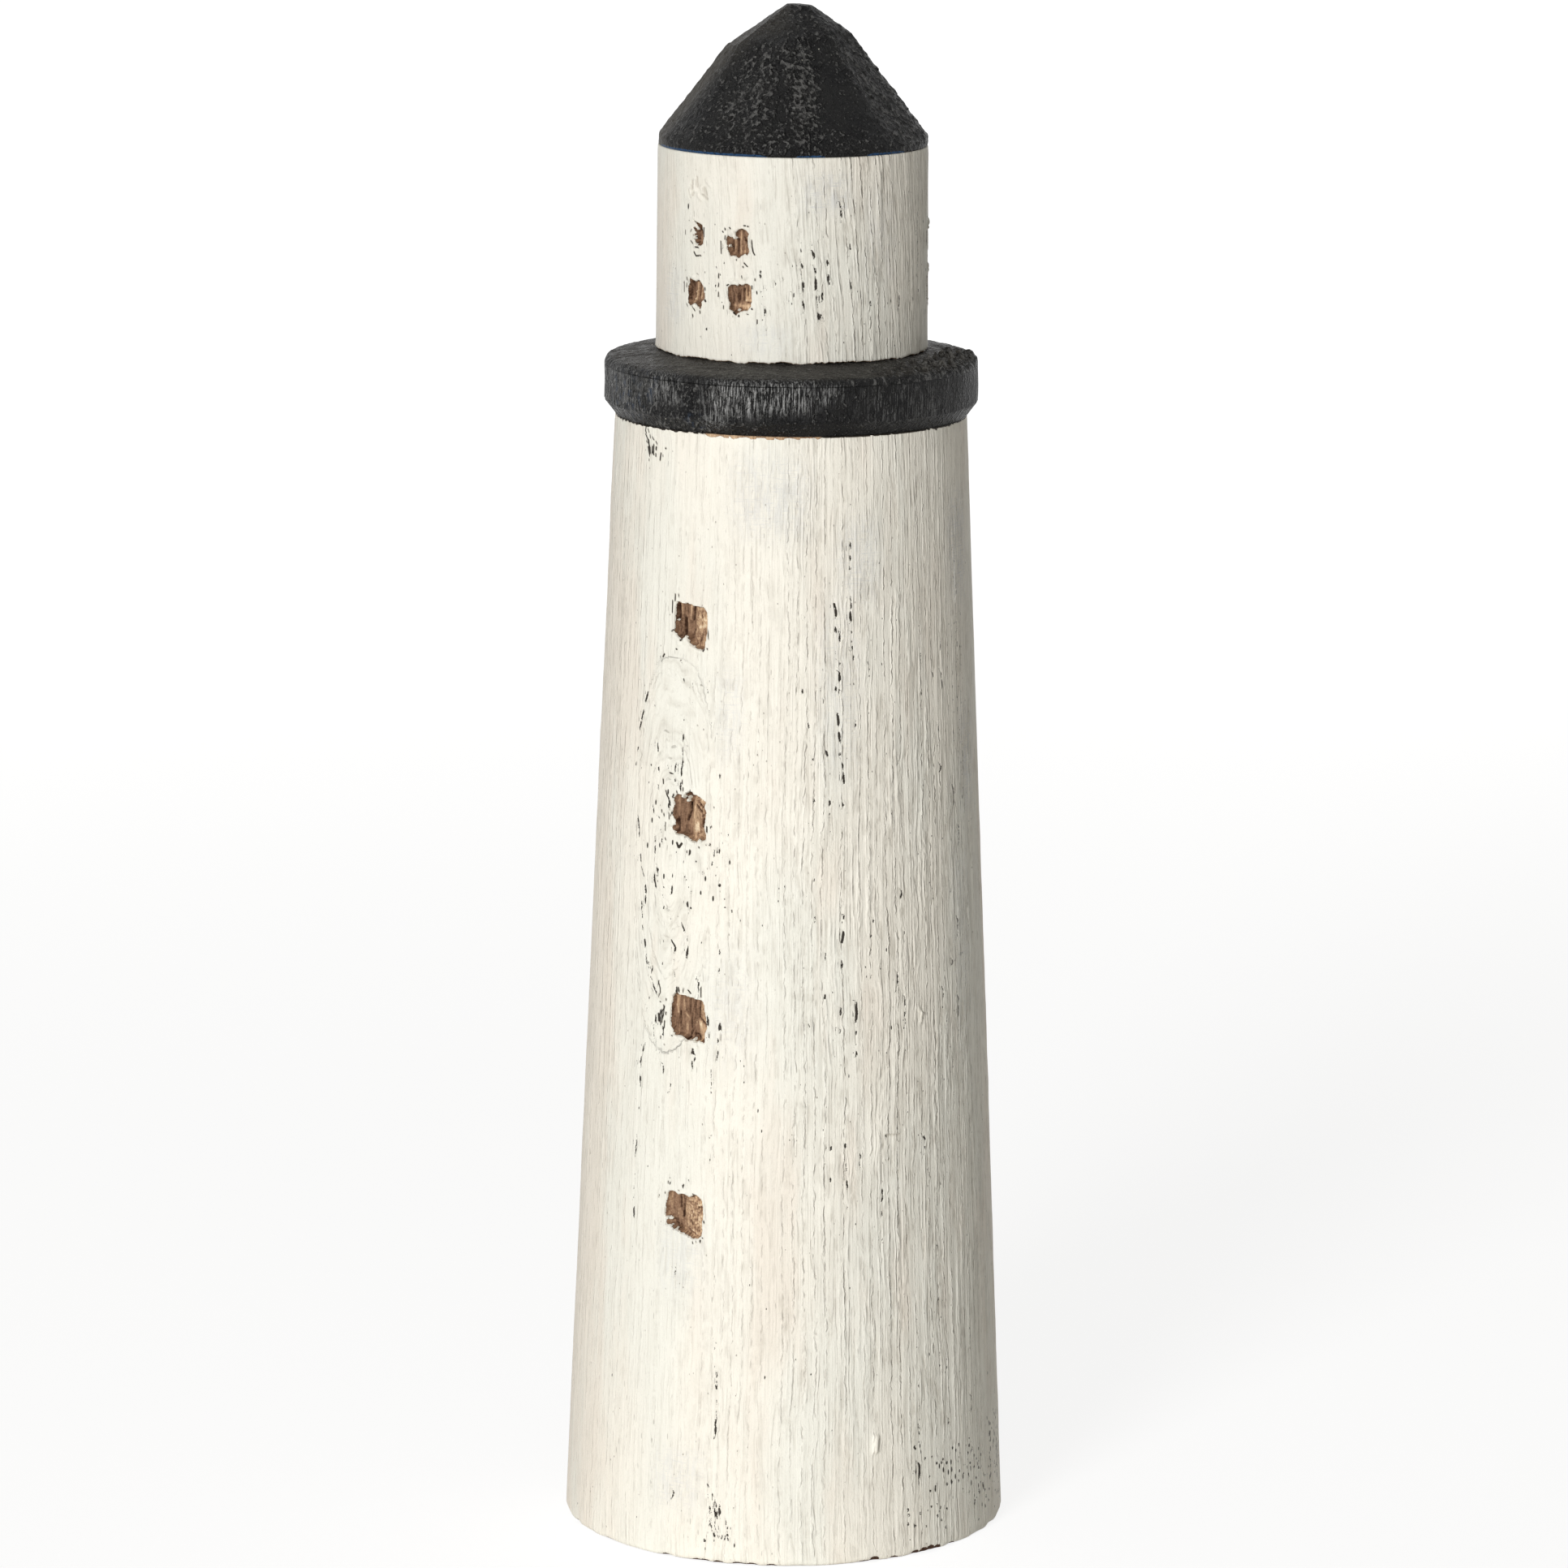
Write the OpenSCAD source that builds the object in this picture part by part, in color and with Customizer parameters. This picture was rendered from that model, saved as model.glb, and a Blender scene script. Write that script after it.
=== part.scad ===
// Lighthouse ornament: a stack of turned and hand-carved softwood blocks,
// pegged together with hidden dowels and painted. Millimetres, +Z up.
// The origin is the centre of the foot, and the front looks along -Y.

/* [Tower] */
// Height of the tapered tower
tower_h = 220.7; // [160:0.1:320]
// Radius of the tower at its foot
foot_r = 43.7; // [38:0.1:60]
// Radius of the tower where the gallery sits on it
tower_top_r = 34.2; // [28:0.1:37]
// Worn edge round the foot
foot_wear = 0.8; // [0.2:0.1:2]

/* [Tower windows] */
// Bearing of the window column, turned from the front towards the right
window_bearing = -30.5; // [-180:0.5:180]
// Drops from the tower's top to the first window, then from window to window
window_drops = [37.3, 36.9, 39.1, 39];
// Width of a window
window_w = 8.2; // [5:0.1:12]
// Height of a window
window_h = 9; // [5:0.1:14]
// How deep the chisel went below the tower's skin
window_cut = 2.6; // [1:0.1:4]

/* [Gallery] */
// Radius of the gallery disc
gallery_r = 36.5; // [35:0.1:60]
// Thickness of the gallery disc at its middle
gallery_t = 13.5; // [9:0.1:25]
// Fall of the top face from the lantern room to the rim
gallery_fall = 2; // [0:0.1:3]
// Rounding of the upper rim
rim_round = 2; // [0.5:0.1:3]
// Height of the bevel round the underside
bevel_h = 2.8; // [0.5:0.1:4]
// Depth of the bevel round the underside
bevel_w = 2.1; // [0.5:0.1:2.2]

/* [Lantern room] */
// Radius of the lantern room
lantern_r = 26.2; // [20:0.1:31]
// Height of the lantern room
lantern_h = 38.7; // [32:0.1:60]

/* [Lantern windows] */
// Bearing of the first group of four panes
pane_bearing = -34; // [-180:0.5:180]
// How many groups stand round the lantern room
pane_groups = 3; // [1:1:4]
// Width of a pane
pane_w = 5.2; // [3:0.1:7]
// Height of a pane
pane_h = 5.7; // [3:0.1:8]
// Distance between the panes' centres, measured along the skin
pane_pitch_w = 9.9; // [8.5:0.1:14]
// Distance between the two rows of panes
pane_pitch_h = 10.3; // [9:0.1:13]
// Height of the middle of a group above the gallery
pane_mid_h = 17.4; // [14:0.1:24]
// How deep the chisel went below the lantern room's skin
pane_cut = 2.2; // [1:0.1:3]

/* [Roof] */
// Upright band at the foot of the roof
band_h = 2.9; // [1:0.1:6]
// Height of the steep lower cone
steep_h = 18.7; // [15:0.1:30]
// Height of the shallow upper cone
cap_h = 5.5; // [3:0.1:12]
// Radius at the knee between the two cones
knee_r = 10.4; // [8:0.1:14]
// Radius of the blunt tip
tip_r = 2; // [1:0.1:5]
// How much smaller the roof's foot is than the lantern room
roof_step = 0.1; // [0:0.1:1]
// Bearings of the flats that the knife left on the steep cone
flat_bearings = [-78, -38, 2, 38, 74, 112, 149, 187, 228];
// How deep the knife cut each flat
flat_cut = 0.45; // [0.1:0.05:0.8]

/* [Dowels] */
// Radius of the dowel through the gallery
gallery_dowel_r = 5; // [3:0.1:8]
// How far that dowel reaches down into the tower
dowel_in_tower = 24; // [12:0.5:40]
// How far that dowel reaches up into the lantern room
dowel_in_lantern = 14; // [8:0.5:15]
// Radius of the dowel under the roof
roof_dowel_r = 4; // [2:0.1:6]
// How far that dowel reaches into the lantern room and into the roof
roof_dowel_reach = 12; // [6:0.5:12.5]
// Glue gap round each dowel
glue_gap = 0.1; // [0.05:0.05:0.2]
// Space left beyond each end of a dowel for spare glue
end_gap = 0.8; // [0.2:0.1:0.9]
// Small bevel on each end of a dowel
dowel_bevel = 0.8; // [0.2:0.1:1.5]

/* [Hidden] */
$fn = 96;
cutter_overrun = 1;
rim_steps = 6;

taper = atan((foot_r - tower_top_r) / tower_h);
gallery_z = tower_h;
lantern_z = gallery_z + gallery_t;
roof_z = lantern_z + lantern_h;
roof_r = lantern_r - roof_step;
knee_h = band_h + steep_h;
tip_h = knee_h + cap_h;
steep_lean = atan((roof_r - knee_r) / steep_h);
gallery_bore_r = gallery_dowel_r + glue_gap;
roof_bore_r = roof_dowel_r + glue_gap;

// Drop of window number i below the tower's top: the sum of the drops so far
function window_drop(i) = i < 0 ? 0 : window_drops[i] + window_drop(i - 1);

// Radius of the tower's skin at a height above the foot
function skin_r(h) = foot_r - (foot_r - tower_top_r) * h / tower_h;

// Places a chiselled square on a round skin of radius r at height h and a
// bearing, leaning back with the skin
module on_skin(bearing, r, h, lean) {
  rotate([0, 0, bearing])
    translate([0, -r, h])
      rotate([-lean, 0, 0])
        children();
}

// A chiselled square: w wide, h high and cut deep into the wood
module chisel_cut(w, h, cut) {
  translate([-w / 2, -cutter_overrun, -h / 2])
    cube([w, cutter_overrun + cut, h]);
}

// A blind hole for a dowel, entered from the plane z = 0 and running up
module dowel_hole(r, reach) {
  translate([0, 0, -cutter_overrun])
    cylinder(r = r, h = cutter_overrun + reach + end_gap);
}

// A round peg with bevelled ends, standing on z = 0
module peg(r, h) {
  rotate_extrude()
    polygon([
      [0, 0], [r - dowel_bevel, 0], [r, dowel_bevel],
      [r, h - dowel_bevel], [r - dowel_bevel, h], [0, h]
    ]);
}

// The tapered post, solid, with its column of chiselled windows
module tower() {
  color("ivory")
    difference() {
      rotate_extrude()
        polygon([
          [0, 0], [foot_r - foot_wear, 0], [skin_r(foot_wear), foot_wear],
          [tower_top_r, tower_h], [0, tower_h]
        ]);
      for (i = [0 : len(window_drops) - 1]) {
        h = tower_h - window_drop(i);
        on_skin(window_bearing, skin_r(h), h, taper)
          chisel_cut(window_w, window_h, window_cut);
      }
      translate([0, 0, tower_h])
        mirror([0, 0, 1])
          dowel_hole(gallery_bore_r, dowel_in_tower);
    }
}

// The disc between tower and lantern room: its top falls to a rounded rim,
// its underside is bevelled, and the dowel passes through its middle
module gallery() {
  rim_top = gallery_t - gallery_fall;
  rim_mid_r = gallery_r - rim_round;
  color("dimgray")
    translate([0, 0, gallery_z])
      difference() {
        rotate_extrude()
          polygon(concat(
            [
              [0, 0], [gallery_r - bevel_w, 0], [gallery_r, bevel_h]
            ],
            [
              for (i = [0 : rim_steps])
                let (a = 90 * i / rim_steps)
                  [rim_mid_r + rim_round * cos(a), rim_top - rim_round * (1 - sin(a))]
            ],
            [
              [lantern_r, gallery_t], [0, gallery_t]
            ]
          ));
        translate([0, 0, -cutter_overrun])
          cylinder(r = gallery_bore_r, h = gallery_t + 2 * cutter_overrun);
      }
}

// The round room above the gallery, solid, with groups of four panes cut
// into it and a dowel hole in each end
module lantern_room() {
  half_turn = pane_pitch_w / (2 * lantern_r) * 180 / PI;
  color("ivory")
    translate([0, 0, lantern_z])
      difference() {
        cylinder(r = lantern_r, h = lantern_h);
        for (g = [0 : pane_groups - 1], side = [-1, 1], row = [-1, 1])
          on_skin(
            pane_bearing + g * 360 / pane_groups + side * half_turn,
            lantern_r, pane_mid_h + row * pane_pitch_h / 2, 0
          )
            chisel_cut(pane_w, pane_h, pane_cut);
        dowel_hole(gallery_bore_r, dowel_in_lantern);
        translate([0, 0, lantern_h])
          mirror([0, 0, 1])
            dowel_hole(roof_bore_r, roof_dowel_reach);
      }
}

// One flat left by the knife: everything outside a plane that lies
// flat_cut under the steep cone, at a bearing
module knife_flat(bearing) {
  rotate([0, 0, bearing])
    translate([0, -roof_r, band_h])
      rotate([-steep_lean, 0, 0])
        translate([-roof_r, flat_cut - 2 * roof_r, -band_h])
          cube([2 * roof_r, 2 * roof_r, 2 * tip_h]);
}

// The roof: an upright band, a steep whittled cone and a shallow blunt cap
module roof() {
  color("dimgray")
    translate([0, 0, roof_z])
      difference() {
        rotate_extrude()
          polygon([
            [0, 0], [roof_r, 0], [roof_r, band_h], [knee_r, knee_h],
            [tip_r, tip_h], [0, tip_h]
          ]);
        for (bearing = flat_bearings)
          knife_flat(bearing);
        dowel_hole(roof_bore_r, roof_dowel_reach);
      }
}

// The dowel that holds tower, gallery and lantern room in line
module gallery_dowel() {
  color("burlywood")
    translate([0, 0, gallery_z - dowel_in_tower])
      peg(gallery_dowel_r, dowel_in_tower + gallery_t + dowel_in_lantern);
}

// The dowel that holds the roof on the lantern room
module roof_dowel() {
  color("burlywood")
    translate([0, 0, roof_z - roof_dowel_reach])
      peg(roof_dowel_r, 2 * roof_dowel_reach);
}

tower();
gallery();
lantern_room();
roof();
gallery_dowel();
roof_dowel();
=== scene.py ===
# A carved and painted wooden lighthouse ornament, built block by block from the camera and the
# studio up: tower, gallery, lantern room, roof and the dowels that hold them together.
from math import atan2, cos, exp, hypot, pi, radians, sin

import bmesh
import bpy
from mathutils import Matrix, Vector, noise


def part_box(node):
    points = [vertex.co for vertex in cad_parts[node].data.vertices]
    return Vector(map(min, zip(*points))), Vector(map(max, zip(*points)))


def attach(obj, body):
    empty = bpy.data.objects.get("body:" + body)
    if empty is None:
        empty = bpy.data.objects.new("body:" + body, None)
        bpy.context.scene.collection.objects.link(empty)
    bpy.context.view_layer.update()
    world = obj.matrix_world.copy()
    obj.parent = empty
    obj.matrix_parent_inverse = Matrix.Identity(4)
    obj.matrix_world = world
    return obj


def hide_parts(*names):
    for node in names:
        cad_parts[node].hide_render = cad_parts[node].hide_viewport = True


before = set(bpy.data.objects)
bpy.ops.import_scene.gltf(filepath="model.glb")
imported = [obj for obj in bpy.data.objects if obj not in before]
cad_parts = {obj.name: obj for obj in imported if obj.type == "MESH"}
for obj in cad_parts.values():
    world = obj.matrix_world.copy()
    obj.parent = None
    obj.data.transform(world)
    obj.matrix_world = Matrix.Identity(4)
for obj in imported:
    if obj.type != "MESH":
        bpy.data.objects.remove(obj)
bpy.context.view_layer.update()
mm = 0.001


# Camera. It stands in front of the ornament, a little above its roof, with a long lens that
# looks down at it. The ornament leans a trace to the right in the picture, so the camera rolls.
camera_back = 1361.6 * mm
camera_high = 413.1 * mm
camera_aside = -0.9 * mm
look_down = radians(11.065)
roll = radians(0.39)
bpy.ops.object.camera_add()
camera = bpy.context.object
camera.matrix_world = (
    Matrix.Translation((camera_aside, -camera_back, camera_high))
    @ Matrix.Rotation(pi / 2 - look_down, 4, "X")
    @ Matrix.Rotation(roll, 4, "Z")
)
camera.data.lens = 161.9
camera.data.sensor_width = 36
camera.data.clip_start = 0.05
bpy.context.scene.camera = camera
bpy.context.scene.view_settings.view_transform = "Standard"


# Studio. A pale floor that runs on past the picture, one broad soft lamp from the front left
# and a dim room all round. The floor looks white to the camera and keeps the soft shadow.
def add(tree, kind, inputs=None, **settings):
    """Adds a shader node, sets or links its inputs, and gives back its first output."""
    made = tree.nodes.new(kind)
    for name, value in settings.items():
        setattr(made, name, value)
    for socket, value in (inputs or {}).items():
        if isinstance(value, bpy.types.NodeSocket):
            tree.links.new(value, made.inputs[socket])
        else:
            made.inputs[socket].default_value = value
    return made.outputs[0] if made.outputs else made


def sums(tree, operation, first, second=0.0, third=0.0):
    """One step of arithmetic on shader values."""
    return add(tree, "ShaderNodeMath", {0: first, 1: second, 2: third}, operation=operation)


def step(tree, value, low, high, start=0.0, end=1.0):
    """A soft step: start below low, end above high."""
    return add(
        tree, "ShaderNodeMapRange",
        {"Value": value, "From Min": low, "From Max": high, "To Min": start, "To Max": end},
        interpolation_type="SMOOTHSTEP",
    )


def seen_rays(tree):
    """1 for what the camera, a reflection or a view through glass sees, and 0 for other light."""
    rays = add(tree, "ShaderNodeLightPath").node.outputs
    either = sums(tree, "MAXIMUM", rays["Is Camera Ray"], rays["Is Glossy Ray"])
    return sums(tree, "MAXIMUM", either, rays["Is Transmission Ray"])


floor_side = 14.0
bpy.ops.object.select_all(action="DESELECT")
bpy.ops.mesh.primitive_plane_add(size=floor_side)
floor_sheet = bpy.context.object
floor_sheet.name = "floor_sheet"
floor_paper = bpy.data.materials.new("floor paper")
floor_paper.use_nodes = True
tree = floor_paper.node_tree
tree.nodes.clear()
paper = add(tree, "ShaderNodeBsdfDiffuse", {"Color": (0.86, 0.85, 0.83, 1)})
dim_paper = add(tree, "ShaderNodeBsdfDiffuse", {"Color": (0.3, 0.3, 0.3, 1)})
spot = add(tree, "ShaderNodeTexCoord").node.outputs["Object"]
away = add(tree, "ShaderNodeVectorMath", {0: spot}, operation="LENGTH").node.outputs["Value"]
glow_strength = step(tree, away, 0.25, 1.6, 0.84, 1.0)
glow = add(tree, "ShaderNodeEmission", {"Color": (1, 1, 1, 1), "Strength": glow_strength})
lit_paper = add(tree, "ShaderNodeAddShader", {0: dim_paper, 1: glow})
shown = add(tree, "ShaderNodeMixShader", {0: seen_rays(tree), 1: paper, 2: lit_paper})
add(tree, "ShaderNodeOutputMaterial", {"Surface": shown})
floor_sheet.data.materials.append(floor_paper)

room = bpy.data.worlds.new("studio room")
bpy.context.scene.world = room
room.use_nodes = True
tree = room.node_tree
tree.nodes.clear()
room_light = add(tree, "ShaderNodeBackground", {"Color": (1, 0.97, 0.9, 1), "Strength": 0.225})
white_wall = add(tree, "ShaderNodeBackground", {"Color": (1, 1, 1, 1), "Strength": 1.0})
shown = add(tree, "ShaderNodeMixShader", {0: seen_rays(tree), 1: room_light, 2: white_wall})
add(tree, "ShaderNodeOutputWorld", {"Surface": shown})

lamp_away = 4.2
lamp_bearing = radians(-23)
lamp_rise = radians(12)
lamp_watts = 138.0
aim = Vector((0, 0, 0.15))
lamp_way = Vector((
    sin(lamp_bearing) * cos(lamp_rise),
    -cos(lamp_bearing) * cos(lamp_rise),
    sin(lamp_rise),
))
bpy.ops.object.light_add(type="AREA", location=aim + lamp_away * lamp_way)
softbox = bpy.context.object
softbox.name = "softbox"
softbox.rotation_euler = lamp_way.to_track_quat("Z", "Y").to_euler()
softbox.data.shape = "DISK"
softbox.data.size = 1.33
softbox.data.energy = lamp_watts


# Tower. One post of softwood, turned to a taper and bored at the top for its dowel. It has a dark
# undercoat and a thick brushed coat of off-white paint, with four windows chopped in by chisel.
tower_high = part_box("tower")[1].z
foot_radius = 43.62 * mm
tower_top_radius = 34.2 * mm
foot_wear = 0.8 * mm
bore_radius = 5.1 * mm
bore_deep = 24.8 * mm
mean_radius = 39 * mm
tower_columns = 560
tower_rows = 84


def spun(name, profile, columns):
    """Spins a profile of (radius, height) points round the axis to a closed block."""
    bpy.ops.object.select_all(action="DESELECT")
    bpy.ops.mesh.primitive_circle_add(vertices=len(profile), radius=mean_radius)
    block = bpy.context.object
    block.name = block.data.name = name
    for vertex, (radius, height) in zip(block.data.vertices, profile):
        vertex.co = (radius, 0, height)
    bpy.ops.object.mode_set(mode="EDIT")
    bpy.ops.mesh.select_mode(type="EDGE")
    bpy.ops.mesh.select_all(action="DESELECT")
    work = bmesh.from_edit_mesh(block.data)
    for edge in work.edges:
        edge.select_set(all(hypot(v.co.x, v.co.y) < 1e-7 for v in edge.verts))
    bpy.ops.mesh.delete(type="EDGE")
    bpy.ops.object.mode_set(mode="OBJECT")
    bpy.ops.object.modifier_add(type="SCREW")
    lathe = block.modifiers[0]
    lathe.steps = columns
    lathe.render_steps = columns
    lathe.use_merge_vertices = True
    lathe.merge_threshold = 1e-7
    bpy.ops.object.modifier_apply(modifier=lathe.name)
    bpy.ops.object.mode_set(mode="EDIT")
    bpy.ops.mesh.select_all(action="SELECT")
    bpy.ops.mesh.remove_doubles(threshold=1e-6)
    bpy.ops.mesh.normals_make_consistent(inside=False)
    bpy.ops.object.mode_set(mode="OBJECT")
    return block


def tower_skin(height):
    """The tower's radius at a height, before any wear or brush mark."""
    share = min(max(height / tower_high, 0), 1)
    return foot_radius + (tower_top_radius - foot_radius) * share


def turn_from(bearing, start):
    """The turn from one bearing to another, between minus and plus half a turn."""
    return (bearing - start + pi) % (2 * pi) - pi


def even(start, end, count):
    """Evenly spaced values from start to end, the end left out."""
    return [start + (end - start) * i / count for i in range(count)]


side_low, side_high = 2.4 * mm, tower_high - 1.2 * mm
side_heights = (
    [foot_wear, 1.2 * mm, 1.8 * mm]
    + even(side_low, side_high, tower_rows)
    + [side_high, tower_high - 0.8 * mm, tower_high - 0.4 * mm, tower_high - 0.12 * mm]
)
tower = spun(
    "tower_post",
    [(0, 0), (14 * mm, 0), (28 * mm, 0), (38 * mm, 0), (41.5 * mm, 0), (foot_radius - foot_wear, 0)]
    + [(foot_radius - 0.25 * mm, 0.25 * mm)]
    + [(tower_skin(height), height) for height in side_heights]
    + [(tower_top_radius - 0.2 * mm, tower_high), (20 * mm, tower_high)]
    + [(bore_radius, tower_high), (bore_radius, tower_high - bore_deep)]
    + [(0, tower_high - bore_deep)],
    tower_columns,
)

# Each carved place: its bearing and height, the outline of the bare hole, the cross-section of
# its floor as (across, depth, tone), strokes of the knife as (from, to, width, deeper, tone),
# lumps of paint as (across, up, radius, height) and nicks in the paint as (from, to, half width).
# All are in mm from the middle of the place, and tone runs from dark to light. Tone is partly
# the wood's own colour and partly painted shade: it is lower where the wood is cut or crumbled deeper.
window_1 = {
    "bearing": -32.2, "height": 183.6, "crumb": 0.25,
    "outline": [
        (-3.6, 3.7), (-3.1, 4.3), (-1.4, 4.0), (-1.0, 4.2), (0, 3.9), (2.0, 3.6),
        (2.9, 3.6), (3.6, 2.8), (3.7, 1.1), (3.8, -0.3), (3.5, -2.5), (3.3, -4.1),
        (2.7, -4.6), (1.3, -4.4), (-0.1, -3.6), (-0.6, -2.5), (-1.1, -2.0),
        (-1.7, -3.0), (-2.2, -3.0), (-3.8, -1.6), (-4.2, -1.4), (-3.7, -1.0),
        (-3.7, 1.1),
    ],
    "floor": [(-3.9, 1.0, 0.26), (-2.2, 1.7, 0.32), (-0.6, 2.3, 0.3), (0.3, 1.9, 0.5), (3.8, 1.2, 0.64)],
    "strokes": [
        (-3.45, 3.7, -3.35, 0.9, 0.18, 0.3, -0.35), (-2.95, 3.8, -2.85, 1.9, 0.17, -0.2, 0.35),
        (-2.25, 1.0, -2.1, -2.9, 0.2, 0.5, -0.4), (-1.2, 4.0, -1.1, 0.8, 0.17, -0.2, 0.38),
        (-0.5, 4.0, -0.6, 0.8, 0.22, 0.5, -0.4), (-1.7, 0.8, -1.2, -1.8, 0.18, -0.15, 0.25),
        (-0.1, -1.1, -0.5, -2.0, 0.2, 0.3, -0.3), (1.2, -0.5, 2.9, -0.05, 0.25, -0.35, 0.45),
        (1.0, 1.7, 1.8, 1.1, 0.2, -0.2, 0.4), (1.7, 1.75, 1.8, 1.6, 0.18, 0.4, -0.5),
        (1.95, -1.9, 1.5, -3.2, 0.2, 0.35, -0.42), (0.9, 0.5, 0.9, 0.3, 0.5, -0.1, 0.15),
        (2.5, 1.2, 2.6, 0.3, 0.4, -0.1, 0.25), (3.3, -2.6, 3.1, -3.4, 0.18, 0.3, -0.6),
        (0.4, -1.5, 0.5, -2.6, 0.3, -0.1, 0.15),
    ],
    "lumps": [
        (-3.0, 0.72, 0.28, 0.0), (-3.5, -2.6, 0.5, 0.25), (-1.15, -3.0, 0.75, 0.35),
        (-2.6, -3.7, 0.8, 0.3), (0.4, -4.5, 0.7, 0.25), (2.1, -5.1, 0.6, 0.2), (-4.1, -2.4, 0.4, 0.2),
    ],
    "nicks": [
        (-3.7, 5.6, -3.7, 4.4, 0.13), (-4.35, 4.3, -4.35, 2.0, 0.13), (-2.9, 5.8, -2.85, 5.2, 0.1),
        (-3.1, -4.9, -3.0, -4.95, 0.17), (-6.05, -6.2, -6.4, -6.8, 0.16), (-1.9, -6.9, -1.9, -7.1, 0.12),
        (3.9, -4.2, 3.95, -4.3, 0.13), (3.95, -0.4, 4.15, -2.4, 0.08), (-4.0, -1.4, -4.3, -1.5, 0.14),
        (3.0, -4.75, 3.2, -4.4, 0.15), (-2.2, -3.1, -2.0, -3.0, 0.15),
    ],
}
window_2 = {
    "bearing": -30.8, "height": 146.5, "crumb": 0.2,
    "outline": [
        (-3.7, 3.3), (-2.9, 4.4), (-2.2, 4.0), (-1.2, 4.2), (-0.3, 4.8), (0.6, 4.8),
        (1.0, 4.3), (1.8, 4.3), (2.6, 3.8), (3.6, 3.2), (3.3, 2.3), (3.8, 1.3), (3.6, -0.1),
        (3.4, -1.8), (3.9, -3.1), (3.8, -4.2), (3.0, -4.4), (2.4, -4.0), (1.7, -4.7),
        (0.7, -4.6), (-0.6, -3.8), (-1.9, -3.6), (-2.9, -3.6), (-3.2, -3.0), (-3.8, -2.9),
        (-3.9, -2.1), (-3.2, -1.8), (-3.3, -0.8), (-4.0, -0.1), (-3.9, 1.1), (-3.4, 2.1),
    ],
    "floor": [(-3.9, 0.9, 0.34), (-1.4, 1.9, 0.36), (-0.6, 2.3, 0.4), (0.6, 1.6, 0.6), (3.8, 1.3, 0.45)],
    "strokes": [
        (-0.8, 3.5, -0.8, 1.0, 0.17, 0.9, -0.9), (-0.8, 1.0, -1.4, -1.0, 0.15, 0.6, -0.6),
        (-3.1, -0.5, -2.9, -3.3, 0.16, 0.3, -0.35), (-3.0, 3.0, -2.8, 1.0, 0.3, -0.15, 0.12),
        (1.1, -1.6, 1.0, -2.4, 0.75, -0.25, 0.35), (0.8, 2.2, 2.05, 1.0, 0.16, 0.5, -0.7),
        (1.1, 3.0, 2.3, 1.9, 0.14, 0.4, -0.5), (2.05, 3.5, 3.1, 2.8, 0.35, -0.2, 0.2),
        (2.6, -0.3, 2.5, -1.9, 0.15, 0.6, -0.8), (2.3, 0.1, 3.3, 0.9, 0.15, 0.3, -0.4),
        (3.2, -0.5, 3.1, -4.0, 0.2, -0.2, 0.25), (0.3, 1.8, 0.1, -0.4, 0.2, -0.2, 0.25),
        (-0.2, -0.8, 0.5, -2.8, 0.14, 0.15, -0.22), (1.6, -0.6, 1.9, -2.0, 0.13, 0.15, -0.25),
        (-1.5, -3.0, 1.6, -3.6, 0.3, -0.1, -0.12), (1.3, -3.3, 2.3, -2.8, 0.12, 0.25, -0.4),
        (-0.3, 4.6, 0.4, 3.9, 0.2, 0.3, -0.3), (-2.4, 3.6, -2.2, 0.4, 0.5, 0.1, -0.08),
    ],
    "lumps": [
        (-0.34, 3.35, 0.42, 0.1), (-1.5, 3.85, 0.4, 0.15), (-3.8, -1.3, 0.5, 0.2), (-0.1, 3.9, 0.25, 0.1),
        (-1.5, -4.3, 0.6, 0.25), (0.2, -4.9, 0.5, 0.2), (-4.6, 0.6, 0.5, 0.2),
    ],
    "nicks": [
        (-2.55, -5.3, -2.2, -6.1, 0.22), (-1.45, -5.3, -2.0, -6.1, 0.22), (0.45, -6.5, 0.4, -7.1, 0.2),
        (2.4, -5.65, 2.5, -5.7, 0.15), (-5.6, 4.5, -5.4, 3.9, 0.13), (-5.4, 3.9, -4.9, 3.1, 0.14),
        (-6.4, 6.7, -6.3, 5.8, 0.13), (-1.7, 7.0, -1.75, 6.2, 0.1), (-1.5, 5.6, -1.45, 4.9, 0.1),
        (-6.6, 0.7, -6.5, 0.2, 0.12), (-6.0, 0.0, -5.9, -0.5, 0.13), (-5.5, -1.7, -5.5, -3.3, 0.09),
        (-5.5, -4.7, -5.3, -5.1, 0.12), (4.05, -1.4, 4.1, -2.6, 0.12), (5.0, -1.3, 4.8, -1.6, 0.13),
        (6.8, -5.7, 6.7, -6.3, 0.14), (5.7, -6.9, 5.7, -7.0, 0.14), (4.9, -4.7, 4.7, -5.1, 0.12),
        (-3.6, 4.1, -3.9, 3.4, 0.15), (-2.9, 4.7, -2.8, 4.3, 0.13), (4.1, -4.9, 4.0, -5.0, 0.1),
        (-3.9, 0.6, -4.3, -0.3, 0.1), (5.4, 2.4, 5.4, 2.3, 0.1), (-4.6, 1.4, -4.5, 0.8, 0.08),
        (0.2, 5.2, -0.1, 4.7, 0.12), (-4.7, 0.3, -4.6, -0.9, 0.1), (-0.3, -7.0, -0.2, -6.6, 0.1),
    ],
}
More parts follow.
